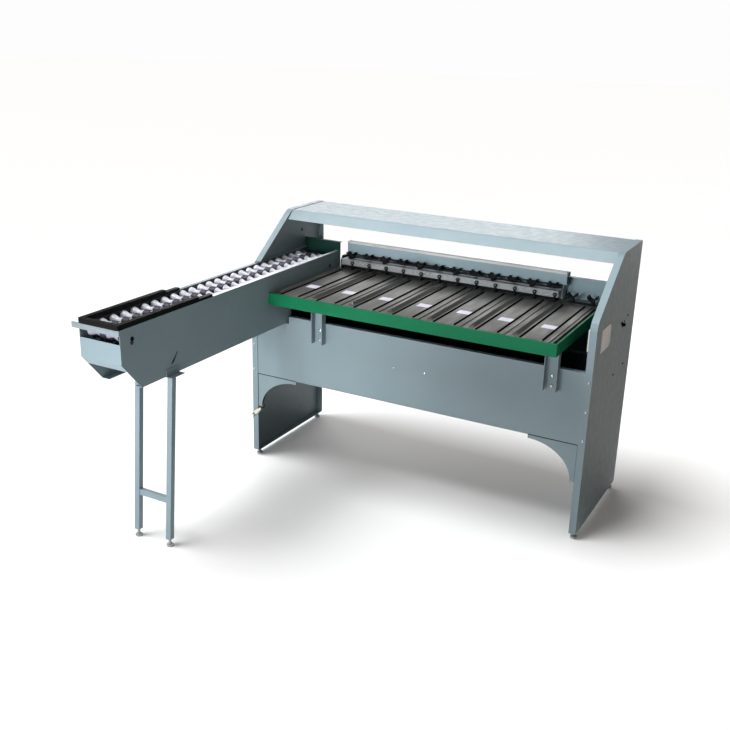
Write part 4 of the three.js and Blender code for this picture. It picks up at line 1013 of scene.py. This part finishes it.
def add_plug(materials):
    """The plug's moulded body and pins, and its lead up to the gearbox."""
    turn = plug_axes()
    body = add_fixed("plug_body", plug_body_shape(), materials["cream"], "cream_plastic", True)
    axis = (turn.to_3x3() @ Vector(FORWARD)).normalized()
    profile = [(along * MM, share * PIN_RADIUS * MM) for along, share in PIN_PROFILE]
    root = PIN_ROOT - PLUG_LENGTH / 2
    starts = [turn @ Vector((x * MM, root * MM, 0)) for x in PIN_PLACES]
    pins = gather([revolved(profile, 14, start, axis) for start in starts])
    pin_piece = add_fixed("plug_pins", pins, materials["dark_steel"], "dark_steel", True)

    exits = [turn @ Vector((0, y * MM, 0)) for y in (PLUG_LENGTH / 2 - LEAD_ROOT, PLUG_LENGTH)]
    gearbox = (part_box("gearmotor")[0].y - machine_front) / MM
    rise = LEAD_ROUTE[-1][0]
    ends = [(rise, y, LEAD_END_HEIGHT) for y in (gearbox - PLUG_LENGTH, gearbox)]
    route = [tuple(place) for place in exits] + [at(*place) for place in LEAD_ROUTE + ends]
    tube = tube_shape(route, LEAD_RADIUS * MM)
    lead = add_fixed("plug_lead", tube, materials["rubber"], "rubber", True)
    for piece in (body, pin_piece):
        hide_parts("power_plug")
    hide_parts("power_lead")


# Floor, light and background

FLOOR_REACH = 30.0
STAGE_ROUGHNESS = 0.9
CARD_RISE = 0.004
FLAG_MARGIN = 24 * MM  # between the flags and the end frames' outer faces
FLAG_GAP = 6 * MM  # behind the apron
FLAG_BOTTOM = 0.6
SIDE_FLAG_REAR = 0.6  # of the flag beside the rim, along Y
FLAG_REAR_GAP = 22 * MM
FLAG_RISE = 30 * MM  # of the lowest flag over the apron's lower edge


def add_sheet(name, places, faces, material):
    """A flat part of the stage."""
    mesh = bpy.data.meshes.new(name)
    mesh.from_pydata(places, [], faces)
    mesh.materials.append(material)
    sheet = bpy.data.objects.new(name, mesh)
    bpy.context.scene.collection.objects.link(sheet)
    return sheet


def level_places(low, high, height):
    """The corners of a level rectangle between two corners in X and Y."""
    return [(x, y, height) for x, y in (low, (high[0], low[1]), high, (low[0], high[1]))]


def one_sided_card(name, colour):
    """A dull finish seen from above only.

    Light from below passes through, so the floor under a card keeps its light.
    """
    finish = Finish(name, colour, STAGE_ROUGHNESS)
    clear = finish.node("ShaderNodeBsdfTransparent")
    sides = finish.node("ShaderNodeMixShader")
    back = finish.node("ShaderNodeNewGeometry").outputs["Backfacing"]
    finish.link(back, sides.inputs["Fac"])
    finish.link(finish.shader.outputs["BSDF"], sides.inputs[1])
    finish.link(clear.outputs["BSDF"], sides.inputs[2])
    surface = finish.tree.nodes["Material Output"].inputs["Surface"]
    finish.link(sides.outputs["Shader"], surface)
    return finish.done()


def add_stage():
    """A pale floor, with dark cards and flags that only take light away from the shaded sides."""
    square = [(0, 1, 2, 3)]
    pale = Finish("pale_floor", (252, 252, 252), STAGE_ROUGHNESS).done()
    around = level_places((-FLOOR_REACH, -FLOOR_REACH), (FLOOR_REACH, FLOOR_REACH), 0.0)
    add_sheet("floor", around, square, pale)
    cards = []
    for name, low, high, colour in (
        ("dark_card", (0.8, -3.0), (8.0, 5.0), (150, 143, 135)),
        ("under_card", (-0.66, 0.0), (0.68, 0.7), (30, 32, 34)),
    ):
        places = level_places(low, high, CARD_RISE)
        cards.append(add_sheet(name, places, square, one_sided_card(name, colour)))
        cards[-1].visible_shadow = False

    # Flags that keep the lamps out of the space under the table: upright behind the apron, level
    # beside the rim and above the lower opening
    front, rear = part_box("front_apron")[1].y + FLAG_GAP, machine_rear - FLAG_REAR_GAP
    left, right = machine_left + FLAG_MARGIN, machine_right - FLAG_MARGIN
    rim_right, rim_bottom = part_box("table_rim")[1].x + MM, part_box("table_rim")[0].z
    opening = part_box("front_apron")[0].z + FLAG_RISE
    places = [(x, front, FLAG_BOTTOM) for x in (left, right)]
    places += [(x, front, rim_bottom) for x in (right, left)]
    places += level_places((rim_right, front), (right, SIDE_FLAG_REAR), rim_bottom)
    places += level_places((left, front), (right, rear), opening)
    black = Finish("black_flag", (12, 12, 12), STAGE_ROUGHNESS).done()
    flags = add_sheet("flags", places, [(0, 1, 2, 3), (4, 5, 6, 7), (8, 9, 10, 11)], black)
    for card in (*cards, flags):
        card.visible_camera = False


def add_light(name, kind, place, target, power, colour=(1, 1, 1), **shape):
    """A light at a place that shines towards a target."""
    data = bpy.data.lights.new(name, kind)
    data.energy = power
    data.color = colour
    for setting, value in shape.items():
        setattr(data, setting, value)
    light = bpy.data.objects.new(name, data)
    light.location = place
    direction = Vector(target) - Vector(place)
    light.rotation_mode = "QUATERNION"
    light.rotation_quaternion = direction.to_track_quat("-Z", "Y")
    light.visible_camera = False
    bpy.context.scene.collection.objects.link(light)


def add_world():
    """Faint warm surroundings that the camera sees as white."""
    world = bpy.data.worlds.new("studio")
    world.use_nodes = True
    nodes, links = world.node_tree.nodes, world.node_tree.links
    around = nodes["Background"]
    around.inputs["Color"].default_value = (1.0, 0.93, 0.86, 1)
    around.inputs["Strength"].default_value = 0.22
    seen = nodes.new("ShaderNodeBackground")
    seen.inputs["Color"].default_value = (0.985, 0.985, 0.985, 1)
    path = nodes.new("ShaderNodeLightPath")
    mix = nodes.new("ShaderNodeMixShader")
    links.new(path.outputs["Is Camera Ray"], mix.inputs["Fac"])
    links.new(around.outputs["Background"], mix.inputs[1])
    links.new(seen.outputs["Background"], mix.inputs[2])
    links.new(mix.outputs["Shader"], nodes["World Output"].inputs["Surface"])
    bpy.context.scene.world = world


def add_lights():
    """A broad sun from the front left, fills at the left and under the hood, and a sheen on it."""
    pale, bluish, cool = (0.98, 0.99, 1.0), (0.94, 0.98, 1.0), (0.9, 0.97, 1.0)
    sun = {"angle": math.radians(34)}
    disk = {"shape": "DISK", "size": 1.8}
    spot = {"spot_size": math.radians(24), "spot_blend": 1.0, "shadow_soft_size": 0.3}
    strip = {"shape": "RECTANGLE", "size": 1.5, "size_y": 0.12, "spread": math.radians(14)}
    panel = {"shape": "RECTANGLE", "size": 3.0, "size_y": 1.0}
    white = (1, 1, 1)
    for name, kind, place, target, power, colour, shape in (
        ("key_sun", "SUN", (-0.95, -0.4, 2.8), (0, 0.2, 0.6), 3.0, pale, sun),
        ("front_soft", "AREA", (-1.0, -4.4, 1.2), (0, 0.4, 0.6), 44, bluish, disk),
        ("left_spot", "SPOT", (-0.5, -3.2, 0.9), (-0.45, 0.2, 0.5), 290, white, spot),
        ("under_hood", "AREA", (0.1, -3.0, 1.6), (0.1, 0.65, 0.9), 1.5, cool, strip),
        ("rear_sheen", "AREA", (-1.6, 3.0, 2.1), (-0.1, 0.4, 0.95), 46, white, panel),
    ):
        add_light(name, kind, place, target, power, colour, **shape)


add_camera()
materials = make_materials()
dress_nodes(materials)
add_rollers(materials)
add_turns(materials)
add_screws(materials)
add_labels(materials)
add_lane_strips(materials)
add_cups(materials)
add_seams(materials)
add_switch_box(materials)
add_trim(materials)
add_plug(materials)
add_stage()
add_world()
add_lights()

bpy.context.scene.view_settings.view_transform = "Standard"
